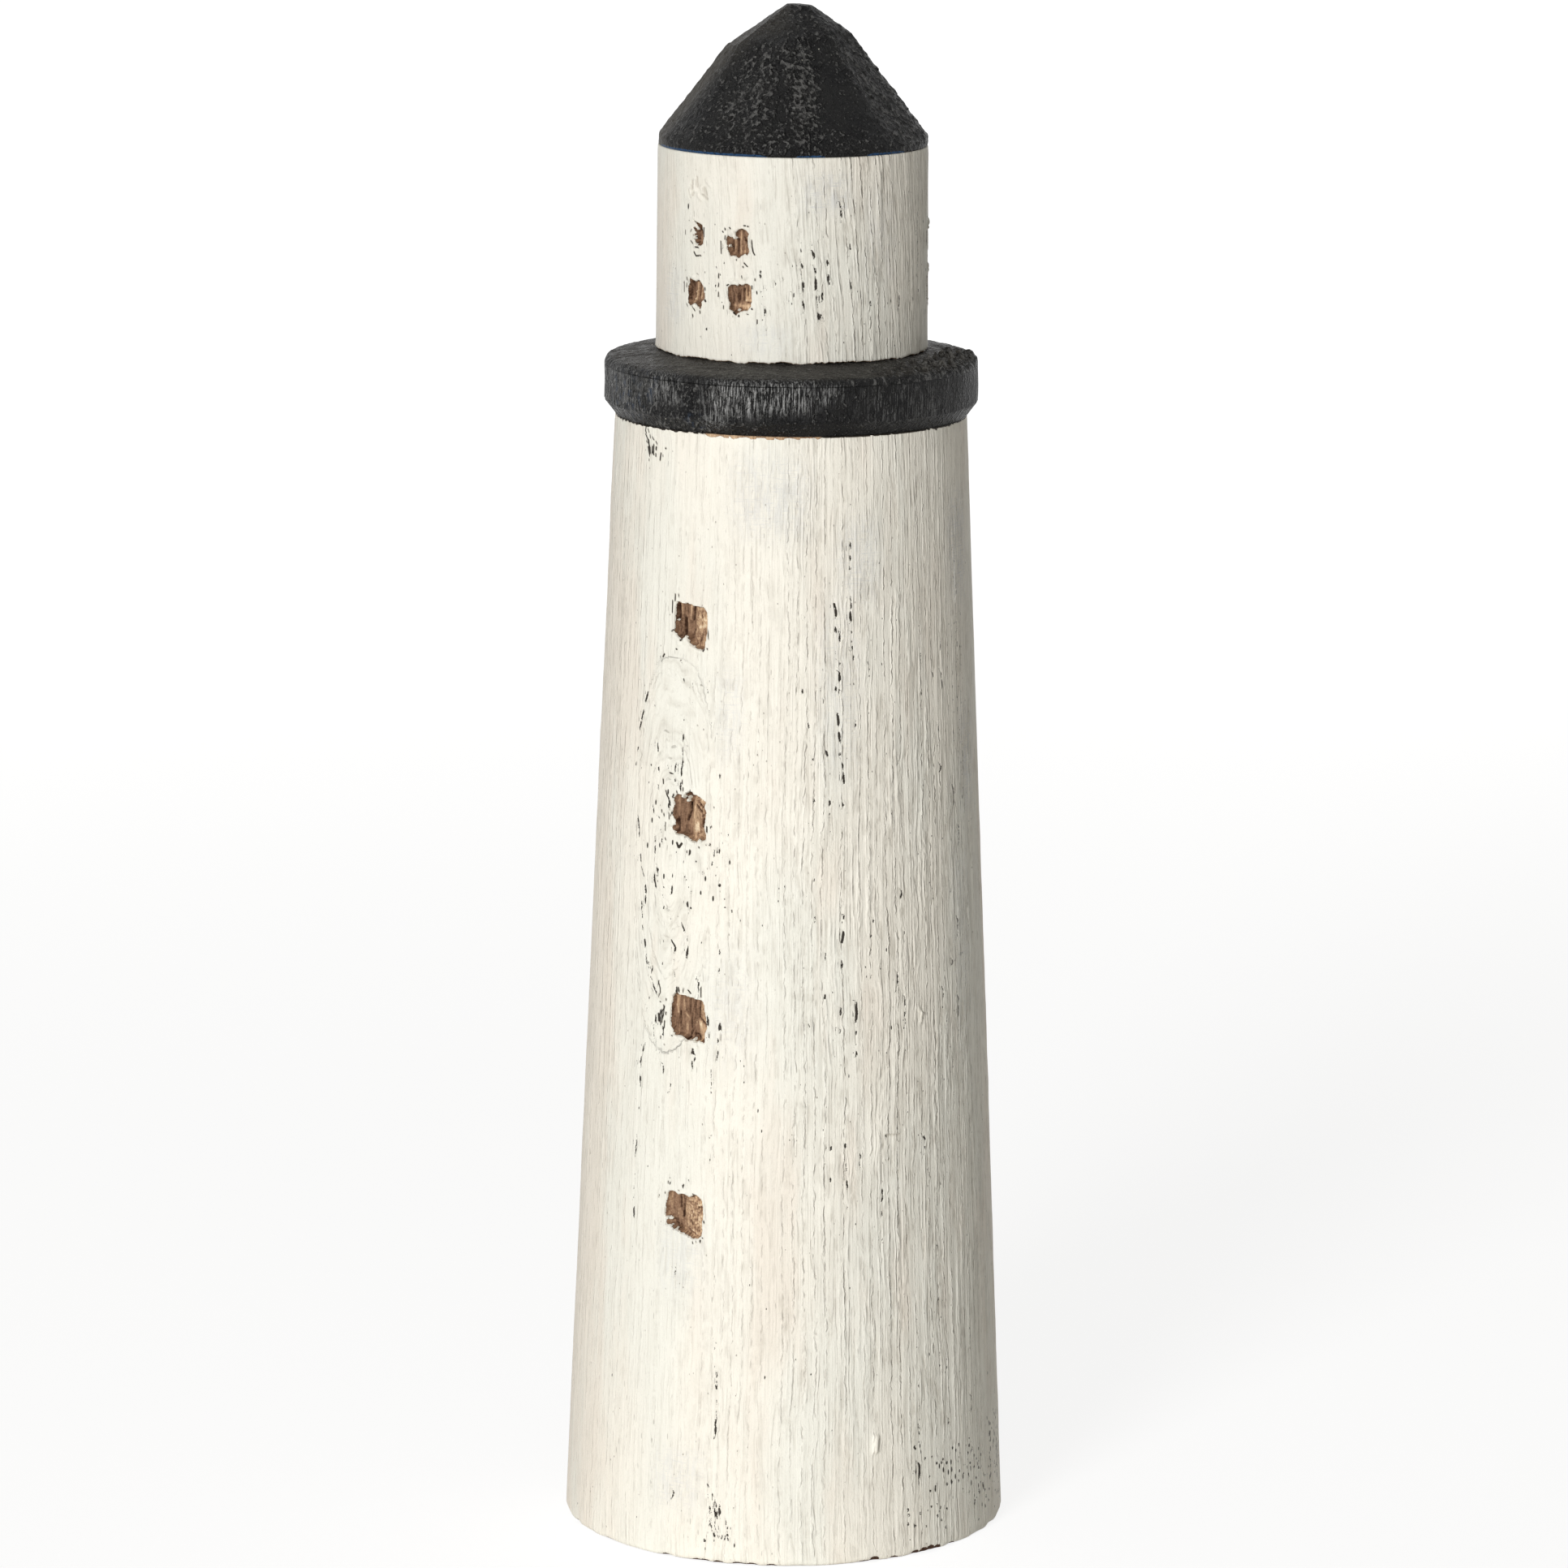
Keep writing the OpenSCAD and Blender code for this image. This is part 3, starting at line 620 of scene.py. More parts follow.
# Seams of the grain: the path of each, as (degrees, mm) points, and the stretches of it where the
# paint has worn through, as (top, bottom, strength)
tower_seams = [
    # left of the windows
    ([(-47.5, 173), (-49, 169), (-52, 161), (-53, 154)], [(173, 170, 0.4), (169.5, 167, 1.5),
      (166, 161.5, 1.2), (161, 159, 0.4), (158.5, 157.5, 1.0), (155.5, 154.5, 1.0)]),
    ([(-52, 148), (-50.5, 143), (-49, 136), (-46.5, 132), (-46, 128)], [(147, 145.5, 0.8),
      (145, 141, 1.2), (138, 135.5, 1.1), (135, 133, 1.0), (132, 130, 1.5), (130, 128, 1.2)]),
    ([(-48, 128.5), (-47, 123), (-46, 121), (-44.5, 116)], [(128.5, 125, 1.2), (124.5, 122, 0.9),
      (121.5, 119.5, 1.5), (119, 116, 1.1)]),
    ([(-42.5, 116.5), (-43, 114), (-41, 111.5), (-40.5, 109.5)], [(116.5, 115, 1.2),
      (114.5, 113.5, 1.3), (113, 110.5, 1.3)]),
    ([(-43, 110.5), (-44.5, 107.5)], [(110.5, 109.5, 0.9), (108.5, 107.5, 0.9)]),
    ([(-44.5, 101.5), (-46, 97), (-45.5, 92)], [(101, 98.8, 1.2), (98, 96, 1.3),
      (94.5, 92.5, 1.4)]),
    ([(-45.5, 92), (-46.5, 80), (-47, 74), (-46.5, 66), (-47, 56)], [(90, 81, 0.45),
      (80.5, 78.2, 1.3), (78, 69, 0.45), (68, 66, 1.1), (65, 57, 0.35)]),
    # between the second and third windows
    ([(-45.5, 168.5), (-43.5, 160), (-42.5, 153), (-42, 146), (-40.5, 142.5), (-39.5, 139)],
      [(168, 166.5, 1.0), (161, 158, 1.1), (156, 154, 1.1), (152, 150.5, 1.2), (146, 145, 1.0),
      (144, 142, 0.8), (141.5, 140, 1.0)]),
    ([(-44.5, 148.5), (-43.5, 144), (-43, 138), (-41.5, 134), (-39, 130), (-38.5, 116)],
      [(148, 146, 1.0), (142, 138, 0.8), (136, 134.3, 1.5), (131, 130, 0.9), (128.5, 127.5, 1.1),
      (125.5, 124.5, 0.9), (122, 121, 0.7), (117.5, 116.5, 1.0)]),
    ([(-42.8, 134.5), (-42.2, 131.5)], [(134.5, 131.5, 1.1)]),
    ([(-39.5, 168), (-39, 155), (-36, 135), (-36, 130.5)], [(167.8, 166.6, 1.0),
      (156.5, 155.3, 0.9), (150, 148, 1.2), (135.2, 134.2, 1.1), (133, 131, 1.3)]),
    ([(-35, 177), (-36, 167), (-36, 152.5)], [(176.6, 175.6, 1.0), (167.3, 166.5, 0.9),
      (157, 155, 1.1), (154, 152.8, 1.1)]),
    ([(-34, 173.5), (-33.3, 162), (-34, 151)], [(173.4, 172.4, 1.0), (166, 165, 1.1),
      (162.5, 161, 1.3), (160.5, 158.4, 0.9), (157.9, 154, 1.1), (153, 151, 1.0)]),
    ([(-30.4, 173), (-30.6, 168), (-30.3, 156)], [(173, 171, 0.8), (169.3, 168.3, 0.8),
      (163.5, 162.5, 0.9), (158, 156, 0.5)]),
    ([(-37.3, 130), (-36, 126), (-35.7, 122), (-34.3, 121), (-34.8, 118), (-33.2, 111.5)],
      [(129.5, 128.3, 0.8), (126.7, 125.6, 1.1), (122.2, 119.6, 1.4), (119, 117.2, 0.8),
      (116, 114, 0.7), (113, 111.6, 1.5)]),
    ([(-30.4, 131), (-30, 118.5)], [(130.4, 128.8, 1.4), (124, 122, 0.9), (121, 118.7, 1.5)]),
    ([(-34.5, 128), (-32.3, 125.8), (-31, 123.8)], [(127.2, 126, 0.6), (125.8, 123.8, 1.2)]),
    ([(-26.5, 116), (-25.6, 111.5)], [(116, 111.6, 0.95)]),
    ([(-32, 135.4), (-29.5, 132), (-28.4, 134.5)], [(135.2, 133.8, 1.2)]),
    ([(-29.5, 132.7), (-29.5, 131.5)], [(132.7, 131.6, 0.9)]),
    # round the third and fourth windows
    ([(-40.5, 107.5), (-40.7, 104.5)], [(107.5, 104.7, 1.1)]),
    ([(-38.6, 108.3), (-39.1, 104.5)], [(108.2, 104.6, 1.2)]),
    ([(-37.8, 109.5), (-37.6, 102.5)], [(109.4, 106.4, 1.0), (105.4, 102.6, 1.1)]),
    ([(-41.4, 105), (-41, 102)], [(104.8, 102, 0.7)]),
    ([(-38.8, 100.5), (-39, 97)], [(100.5, 99.5, 1.0), (98.5, 97.5, 0.8)]),
    ([(-37.1, 98), (-37.1, 95.5)], [(97.4, 95.6, 1.2)]),
    ([(-34.5, 96.5), (-34.7, 92)], [(96.4, 95.6, 0.8), (93.8, 92.2, 1.0)]),
    ([(-23.1, 108.5), (-23, 103)], [(108.4, 105.8, 1.0), (104.5, 103.2, 0.9)]),
    ([(-27.5, 101.5), (-27.6, 97)], [(101.3, 100, 1.5), (99.6, 97, 0.8)]),
    ([(-26.7, 100.2), (-26.8, 99)], [(100, 99, 1.0)]),
    ([(-21, 156), (-21.3, 136), (-20, 121), (-19.5, 107), (-20.3, 94)], [(155.7, 154.6, 1.1),
      (141, 139.6, 1.1), (138.3, 137.3, 1.0), (121.6, 120.2, 1.0), (117.8, 116.4, 0.9),
      (110.5, 109.7, 0.8), (107.2, 105.7, 1.6), (104.5, 102.6, 1.0), (102, 98.5, 0.8),
      (95.5, 94.3, 0.8)]),
    ([(-22.4, 141), (-23, 137)], [(140.6, 139.6, 1.1), (138.4, 137.4, 1.0)]),
    ([(-17.6, 145), (-18.6, 138.5)], [(144.4, 143.5, 1.0), (142.6, 141.6, 1.1), (140.8, 139, 0.9)]),
    ([(-16.6, 139), (-16.3, 128)], [(138.9, 138, 1.0), (129.6, 128.6, 0.9)]),
    ([(-11, 134), (-11.1, 129)], [(134, 133, 0.9), (130.5, 129.4, 1.1)]),
    ([(-27.5, 83), (-29.3, 79), (-29.6, 73.5)], [(82.4, 81.4, 1.1), (79.6, 77.9, 1.4),
      (74.6, 73.6, 1.1)]),
    ([(-27.4, 82.8), (-27.6, 74.5)], [(82.6, 81.6, 1.0), (77.4, 74.6, 0.9)]),
    ([(-33.6, 76), (-34, 73.4)], [(75.6, 73.6, 0.9)]),
    ([(-31, 60), (-31.2, 50)], [(59.4, 56.2, 1.1), (53, 51.5, 0.7)]),
    ([(-21.1, 86.5), (-21.2, 79)], [(85.6, 84.2, 1.0), (82, 79.5, 0.6)]),
    ([(-29, 174), (-25.5, 171.2), (-24.6, 166), (-21, 162)], [(174, 170, 0.5), (169, 165, 0.45),
      (164.5, 162, 0.5)]),
    ([(-43, 177), (-43, 175)], [(176.6, 175.6, 1.2)]),
    ([(-61.5, 180), (-61.5, 178)], [(179.6, 178.4, 1.1)]),
    # the two long chains right of the middle, and their neighbours
    ([(19, 201), (19, 186), (19.8, 178), (20.4, 164)], [(200.4, 198.8, 1.3), (198, 196.3, 1.0),
      (195.8, 195, 1.2), (194, 193.2, 1.0), (192.2, 191.4, 1.0), (190.8, 187.4, 0.75),
      (187, 184.9, 1.6), (183.4, 182.6, 1.2), (181.6, 180.8, 1.2), (180.6, 179.5, 1.6),
      (178.6, 177.8, 1.0), (176, 175, 1.0), (174, 172.8, 0.5), (166, 164.2, 1.0)]),
    ([(13.3, 191), (14.3, 186.5), (13.8, 183), (14.2, 172), (15.1, 165), (15.4, 159), (16.6, 156),
      (16.4, 150), (16.8, 141), (16.5, 128), (15.8, 122), (15.2, 112), (15, 96)],
      [(190.6, 189, 0.8), (188.8, 186, 1.6), (184.2, 183.3, 1.2), (180.6, 177.6, 0.45),
      (177.2, 176.2, 1.0), (173, 171, 1.1), (167.6, 165, 1.6), (164, 161.9, 1.6),
      (160.3, 158.8, 1.2), (157.8, 156.6, 1.3), (156.2, 153.8, 1.4), (150.4, 149, 1.3),
      (145.6, 144.8, 1.0), (142, 141.2, 1.0), (139.4, 138.6, 0.9), (137.6, 134.4, 0.5),
      (134.4, 133.4, 0.9), (131, 130, 1.2), (128.7, 127.7, 1.4), (125.4, 122.6, 1.6),
      (119.6, 118, 1.5), (117.8, 116.6, 0.7), (110.6, 108.8, 1.2), (106.4, 105.4, 1.4),
      (98.5, 96.5, 0.7)]),
    ([(15.4, 184.4), (15.3, 173), (16, 170.5)], [(184.2, 181, 1.1), (177.5, 176.5, 1.3),
      (175.5, 173.5, 1.6), (172, 170.8, 1.0)]),
    ([(20, 112), (20, 100)], [(111.5, 107.4, 1.6), (106, 102.5, 0.8), (101.6, 100.4, 1.5)]),
    ([(16.4, 85), (17, 80), (17, 69)], [(84, 82.6, 1.4), (80.6, 79.8, 1.0), (79.2, 78.2, 1.3),
      (77.4, 74, 0.9), (71.6, 70.4, 1.0)]),
    ([(9.6, 173), (10.3, 169), (11.4, 160), (12.2, 150), (12.3, 137)], [(172.6, 171.6, 0.9),
      (171.2, 169.4, 0.9), (163.8, 163, 0.8), (161, 159, 1.3), (151, 149.6, 1.3), (149, 145.4, 0.5),
      (145, 144.2, 1.0), (142, 141.2, 0.9)]),
    ([(13.2, 144.5), (13.8, 139.5)], [(144, 143, 0.9), (140.8, 139.8, 0.9)]),
    ([(11, 122), (10.8, 111)], [(121, 119.8, 1.1), (113.2, 111.8, 1.3)]),
    ([(6.4, 108), (6.4, 106)], [(107.6, 106.5, 1.6)]),
    ([(12.4, 84), (12.2, 76)], [(83.6, 82.6, 1.4), (79, 78, 0.5), (77.4, 76.4, 1.4)]),
    ([(4.8, 89), (4.7, 77)], [(88.4, 87.4, 1.0), (78, 77.2, 0.7)]),
    ([(4.5, 187), (5.3, 180), (5.9, 165), (7, 159), (7.6, 150), (7.6, 127)], [(186.6, 185.7, 0.8),
      (183, 179.6, 0.5), (166, 164.8, 1.1), (163.2, 162.4, 0.8), (159.6, 158.6, 1.2),
      (151.2, 149.8, 1.1), (146.5, 145.7, 1.0), (136, 134.8, 1.0), (128.4, 127, 1.1)]),
    ([(4, 172.6), (4.1, 171.2)], [(172.6, 171.3, 1.0)]),
    ([(-15.8, 198.4), (-15.4, 193.6)], [(197.9, 197, 0.8), (195.7, 194.9, 0.8),
      (194.5, 193.7, 0.8)]),
    ([(-12.2, 188), (-13.5, 181), (-12.5, 172), (-10, 163)], [(187.6, 186.6, 0.8),
      (182.6, 181.6, 0.8), (175.5, 172.5, 0.4), (168, 164, 0.35)]),
    ([(24.1, 189.4), (24.6, 171)], [(189, 188, 0.8), (177.4, 176.4, 0.8), (171.6, 170.8, 0.8)]),
    ([(25.8, 128), (24.7, 123), (24.6, 115)], [(127.6, 126.4, 1.1), (124.4, 123.5, 1.0),
      (122, 120.5, 0.8), (116.4, 115.6, 1.2)]),
    ([(20.8, 82), (20.8, 77)], [(81.6, 78.2, 0.95)]),
    ([(27.6, 82), (27.4, 70), (27, 60)], [(81, 75, 0.5), (74.4, 71.6, 1.1), (69.8, 68.4, 1.0),
      (66, 62, 0.6)]),
    # further round to the right, where the chains are longer and fainter
    ([(34.8, 158), (35.4, 130)], [(157.6, 155.5, 1.1), (133, 129, 1.1)]),
    ([(33.4, 118), (33.2, 98)], [(117, 113, 1.1), (110, 103, 0.5)]),
    ([(36, 126), (35.7, 98)], [(126, 121, 0.8), (112, 105, 0.7), (101, 98.5, 0.7)]),
    ([(32.6, 94), (33, 50)], [(93, 84, 0.5), (78, 66, 0.35)]),
    ([(54, 182), (53.9, 173), (54.6, 168)], [(181, 176, 0.8), (175, 172, 1.1), (171, 168.5, 0.9)]),
    ([(50, 175), (50.1, 170)], [(174.5, 171, 0.9)]),
    ([(51.5, 165), (52.4, 153)], [(164.5, 159, 0.8), (157, 154, 0.9)]),
    ([(59.6, 152), (59.3, 144)], [(151, 145.5, 1.0)]),
    ([(61.8, 144), (62.2, 137)], [(143, 138, 0.9)]),
    ([(47.4, 133), (47.4, 128)], [(132, 129, 0.9)]),
    ([(56, 132), (55.9, 113)], [(132, 129, 0.9), (118, 114, 1.1)]),
    ([(67.5, 186), (66.5, 172)], [(185, 181, 0.8), (179, 173, 0.5)]),
    ([(51.3, 113), (51, 108)], [(112.5, 108.5, 1.0)]),
    ([(59.6, 126), (58.4, 98)], [(125, 121, 1.1), (109, 105, 1.1), (103, 99, 0.8)]),
    ([(55.1, 99), (55.3, 84)], [(98, 95, 0.9), (90, 86, 0.7)]),
    ([(41.9, 85), (42, 79)], [(84.5, 80, 1.1)]),
    ([(47.5, 85), (48.1, 70)], [(84, 80, 0.6), (75, 71, 0.8)]),
    ([(44, 190), (44.4, 160)], [(186, 163, 0.5)]), ([(64, 196), (64.5, 150)], [(195, 150, 0.5)]),
    ([(46, 66), (46.2, 34)], [(66, 34, 0.5)]), ([(38, 52), (38.4, 22)], [(52, 22, 0.45)]),
    # low on the front
    ([(-18.3, 50), (-18.3, 24)], [(46, 43, 0.7), (39, 37.6, 1.1), (36.4, 34.6, 1.2),
      (33.6, 32, 1.0), (30.6, 27.6, 1.2), (26.4, 25, 0.9)]),
    ([(-20.2, 18), (-20, 3)], [(16.8, 14, 0.7), (12.6, 11, 0.8), (10, 7.6, 0.7)]),
    ([(-19.2, 13), (-19, 3)], [(12, 9.6, 0.8), (8.4, 5.4, 1.0)]),
    ([(-18.2, 15), (-18, 3)], [(14, 11.6, 0.9), (10.6, 7.4, 1.2), (6.6, 4.6, 0.8)]),
    ([(-17, 14), (-16.9, 3)], [(13, 8.4, 0.9), (7.2, 5, 0.9)]),
    ([(-15.8, 11), (-15.6, 3)], [(10, 7.8, 0.8), (6.6, 4, 0.9)]),
    ([(-14.5, 9), (-14.4, 3)], [(8.6, 6.8, 0.8), (6, 4.4, 0.8)]),
    ([(-30.3, 20), (-29.4, 8)], [(18, 15.6, 0.7), (14.4, 11.6, 0.9)]),
    ([(-21.5, 100), (-21.6, 90)], [(98, 92, 0.5)]),
    ([(38.3, 28), (37.8, 4)], [(26.4, 23.6, 1.1), (22.6, 21, 1.3), (20, 16.8, 1.2), (16, 14, 1.4),
      (12.6, 11, 1.0), (9, 8, 1.2)]),
    ([(49, 40), (49.2, 20)], [(39, 34, 0.7), (27, 23, 0.9)]),
    ([(60, 46), (60.2, 16)], [(44, 38, 0.6), (30, 24, 0.8), (20, 17, 1.0)]),
    ([(72, 34), (72.2, 4)], [(33, 28, 0.8), (22, 17, 1.0), (13, 8, 1.1)]),
    ([(80, 30), (80.2, 4)], [(28, 20, 0.9), (16, 9, 1.1)]),
    # the back
    ([(120, 190), (121, 130)], [(190, 130, 0.8)]), ([(150, 150), (148, 90)], [(150, 90, 0.9)]),
    ([(-120, 120), (-122, 60)], [(120, 60, 0.7)]), ([(-150, 200), (-152, 150)], [(200, 150, 0.9)]),
    ([(180, 90), (181, 40)], [(90, 40, 0.8)]), ([(-95, 190), (-96, 150)], [(190, 150, 0.7)]),
]
# Patches that are worn along the grain: bearing, height, half width, half height and strength
tower_wear = [
    (16, 180, 3.5, 24, 0.3), (-37, 150, 8.5, 26, 0.35), (-30, 122, 10, 12, 0.28), (-24, 135, 7, 8, 0.35),
    (-38, 111, 5, 8, 0.25), (-47, 98, 2.0, 12, 0.25), (-28, 80, 3.5, 5, 0.25), (64, 165, 4.0, 30, 0.7),
    (50, 118, 8.0, 50, 0.45), (40, 60, 6.0, 46, 0.45), (-10, 70, 6, 40, 0.3), (5, 95, 8, 50, 0.35),
    (30, 150, 6, 50, 0.4), (140, 150, 8, 40, 0.8), (-130, 90, 9, 45, 0.8), (-95, 170, 6, 30, 0.7),
    (178, 60, 9, 25, 0.8), (105, 60, 8, 30, 0.7), (-155, 190, 9, 18, 0.8),
]
# Where the undercoat shows as small round specks
tower_specks = [
    (52, 15, 8, 3.6, 1.2), (41, 6.5, 5, 3, 1.3), (66, 11, 7, 7, 1.2), (77, 12, 6, 9, 1.2),
    (37.5, 17, 1.2, 7, 1.0), (-17, 8, 3, 5, 0.6),
    (-21, 135, 6, 5, 0.35), (-150, 12, 9, 6, 0.9), (-40, 146, 5, 12, 0.3),
]
# Where the paint is thin and bluish
tower_cool = [
    (66.7, 197, 5, 11, 1.0), (69, 155, 4, 12, 0.9), (-6, 209, 9, 8, 0.7), (22, 197, 5, 8, 0.7),
    (-18, 167, 3, 9, 0.6), (15, 172, 5, 18, 0.5), (-29, 16, 5, 6, 0.6), (-30, 60, 5, 8, 0.5),
    (-16, 110, 5, 12, 0.4), (150, 180, 9, 16, 0.8), (-120, 60, 10, 20, 0.7), (62, 120, 4, 20, 0.5),
]
# Where the paint is pinkish and warm
tower_warm = [
    (-82, 110, 17, 120, 1.6), (-64, 60, 7, 70, 1.0), (14, 90, 5, 60, 0.6), (24, 120, 4, 50, 0.4),
    (38, 200, 5, 20, 0.5), (-2, 60, 5, 40, 0.4), (90, 80, 14, 80, 0.7), (180, 120, 30, 60, 0.5),
]
# Where the brush ridges are heavy
tower_heavy = [
    (52, 110, 24, 120, 1.0), (14, 120, 12, 120, 0.7), (-8, 100, 12, 110, 0.3),
    (150, 110, 40, 120, 0.7), (-37, 140, 12, 44, 0.3), (-72, 150, 10, 90, 0.45),
    (-110, 120, 20, 120, 0.6),
]
# Where the foot is chipped to bare wood, and how high
foot_chips = [
    (24.4, 1.6), (36.7, 1.4), (39.5, 1.7), (41.8, 1.9), (44.2, 1.5), (30, 1.0), (50, 0.8),
    (-32, 0.6), (-20.5, 0.8), (-17, 1.0), (-12, 0.7), (-8, 0.9), (-3, 0.8), (-70, 1.0),
    (110, 2), (-140, 2.4),
]
# How far in mm from its middle a carved place can mark the skin
carved_reach = 7.6


def finish_skin(
    block, skin, low, high, seed, rings, places, seams, wear, speck, blue, blush, thick, mean
):
    """Gives a painted block its relief, its carved places and the values that its paint reads."""
    names = (
        "ring", "seam", "seam_on", "worn", "bare", "tone", "nick", "specks", "cool", "warm", "heavy",
    )
    kept = {name: [] for name in names}
    skins, flows = [], []
    for vertex in block.data.vertices:
        x, y, height = vertex.co
        out = hypot(x, y)
        bearing = atan2(x, -y)
        heavy = strongest(thick, bearing, height, mean)
        bare, tone, nick = 1.0, 0.55, 0.0
        if skin(height) - out < 0.3 * mm and height > low:
            ease = min((high - height) / (1.5 * mm), (height - low) / (2 * mm), 1)
            out += brushed(bearing, height, 0.5 + 0.9 * heavy, seed, mean) * max(ease, 0)
            bare = 0.0
            nearest, reach = None, carved_reach
            for place in places:
                v = height / mm - place["height"]
                u = turn_from(bearing, radians(place["bearing"])) * out / mm
                if max(abs(u), abs(v)) < reach:
                    nearest, reach = (place, u, v), max(abs(u), abs(v))
            if nearest:
                depth, bare, tone, nick = carved(*nearest)
                out -= depth * mm
        ring = rings(bearing, height)
        seam, seam_on = seam_near(seams, bearing, height, mean)
        kept["seam"].append(seam)
        kept["seam_on"].append(seam_on)
        kept["bare"].append(bare)
        kept["tone"].append(tone)
        kept["nick"].append(nick)
        kept["heavy"].append(heavy)
        kept["ring"].append(ring / ring_gap)
        kept["worn"].append(strongest(wear, bearing, height, mean))
        kept["specks"].append(strongest(speck, bearing, height, mean))
        kept["cool"].append(strongest(blue, bearing, height, mean))
        kept["warm"].append(strongest(blush, bearing, height, mean))
        vertex.co = (out * sin(bearing), -out * cos(bearing), height)
        skins.append((mean * sin(bearing), -mean * cos(bearing), height))
        flows.append((ring, 0.12 * mean * bearing, height))
    return skins, flows, kept


def keep_all(block, skins, flows, kept):
    """Writes a painted block's values to its mesh."""
    store(block, "skin", skins, "FLOAT_VECTOR")
    store(block, "flow", flows, "FLOAT_VECTOR")
    for name, values in kept.items():
        store(block, name, values)


skins, flows, kept = finish_skin(
    tower, tower_skin, 0.1 * mm, tower_high, 40, tower_rings, tower_places + small_places,
    tower_seams, tower_wear, tower_specks, tower_cool, tower_warm, tower_heavy, mean_radius,
)
for vertex, place in zip(tower.data.vertices, range(len(skins))):
    x, y, height = vertex.co
    out = hypot(x, y)
    bearing = atan2(x, -y)
    if out > foot_radius - 3 * mm and height < 6 * mm:
        chip = 0
        for degrees, high in foot_chips:
            across = turn_from(bearing, radians(degrees)) * out / (1.1 * mm)
            chip = max(chip, exp(-(across ** 2)) * eased(height / mm, high, high * 0.3))
        rough = max(0, drawn(bearing, 0, 3 * mm, 5 * mm, 55) + 0.2) * eased(height / mm, 1.3, 0)
        out -= (0.6 * rough + 0.4 * chip) * mm
        kept["bare"][place] = max(kept["bare"][place], 0.9 * rough, 1.0 * chip)
        kept["tone"][place] = 0.1
    if out > tower_top_radius - 1 * mm and height > tower_high - 1.3 * mm:
        tan_line = eased(abs(turn_from(bearing, radians(-10))) * out / mm, 14, 9)
        fray = drawn(bearing, 0, 1.3 * mm, 5 * mm, 57) + 0.5 * drawn(bearing, 0, 0.5 * mm, 5 * mm, 58)
        line_low = tower_high / mm - 0.45 - 0.5 * fray
        tan_line_on = tan_line * eased(height / mm, line_low - 0.2, line_low + 0.2)
        kept["bare"][place] = max(kept["bare"][place], tan_line_on)
        kept["tone"][place] = 0.62 + 0.3 * fray
        lip = eased(height / mm, tower_high / mm - 0.3 + 0.3 * fray, tower_high / mm - 0.1 + 0.3 * fray)
        kept["nick"][place] = max(kept["nick"][place], lip * (1 - tan_line))
    out = min(out, foot_radius)
    vertex.co = (out * sin(bearing), -out * cos(bearing), height)
keep_all(tower, skins, flows, kept)


def mixed(tree, share, first, second):
    """A colour between two others: share is 0 for the first and 1 for the second."""
    made = tree.nodes.new("ShaderNodeMix")
    made.data_type = "RGBA"
    for place, value in ((0, share), (6, first), (7, second)):
        if isinstance(value, bpy.types.NodeSocket):
            tree.links.new(value, made.inputs[place])
        else:
            made.inputs[place].default_value = value
    return made.outputs[2]


def marks(tree, place, across, along, detail=2.0, rough=0.5, shift=0.0):
    """Noise whose marks are about across wide and along high."""
    spread = add(
        tree, "ShaderNodeMapping",
        {"Vector": place, "Location": (shift, shift, shift), "Scale": (1 / across, 1 / across, 1 / along)},
    )
    return add(
        tree, "ShaderNodeTexNoise",
        {"Vector": spread, "Scale": 1.0, "Detail": detail, "Roughness": rough},
    )


def flecks(tree, place, across, along, size, share, shift=0.0):
    """Small separate marks in cells of across by along: share of the cells hold one."""
    spread = add(
        tree, "ShaderNodeMapping",
        {"Vector": place, "Location": (shift, shift, shift), "Scale": (1 / across, 1 / across, 1 / along)},
    )
    cells = add(tree, "ShaderNodeTexVoronoi", {"Vector": spread, "Scale": 1.0}).node
    chance = add(tree, "ShaderNodeSeparateColor", {0: cells.outputs["Color"]})
    picked = sums(tree, "LESS_THAN", chance, share)
    near = step(tree, cells.outputs["Distance"], size * 0.7, size, 1.0, 0.0)
    return sums(tree, "MULTIPLY", picked, near)


def read(tree, name):
    """A value that a block keeps for each vertex."""
    return add(tree, "ShaderNodeAttribute", attribute_name=name).node.outputs["Fac"]


def times(tree, first, second):
    """The product of two shader values."""
    return sums(tree, "MULTIPLY", first, second)


def plus(tree, first, second):
    """The sum of two shader values."""
    return sums(tree, "ADD", first, second)


def most(tree, first, second):
    """The greater of two shader values."""
    return sums(tree, "MAXIMUM", first, second)


def bare_wood_colour(tree, place, tone):
    """Cut softwood from dark brown to straw: tone is 0 to 1, and fibres break it up."""
    fibres = marks(tree, place, 0.16 * mm, 1.6 * mm, 2.0, 0.6)
    torn = marks(tree, place, 0.3 * mm, 0.35 * mm, 2.0, 0.6, 4.0)
    shade = plus(tree, tone, times(tree, sums(tree, "SUBTRACT", fibres, 0.5), 0.5))
    shade = plus(tree, shade, times(tree, sums(tree, "SUBTRACT", torn, 0.5), 0.45))
    brown = mixed(tree, step(tree, shade, 0.02, 0.45), (0.045, 0.018, 0.008, 1), (0.26, 0.155, 0.095, 1))
    tan = mixed(tree, step(tree, shade, 0.4, 0.75), brown, (0.56, 0.38, 0.235, 1))
    return mixed(tree, step(tree, shade, 0.75, 1.0), tan, (0.82, 0.66, 0.46, 1))


def ridges(tree, place, across, along, sharp, shift=0.0):
    """Long ridges, 1 on their crest and 0 beside them, about across apart."""
    waves = sums(tree, "SUBTRACT", marks(tree, place, across, along, 1.0, 0.5, shift), 0.5)
    crests = sums(tree, "MULTIPLY_ADD", sums(tree, "ABSOLUTE", waves), -sharp, 1.0)
    return sums(tree, "MAXIMUM", crests, 0.0)


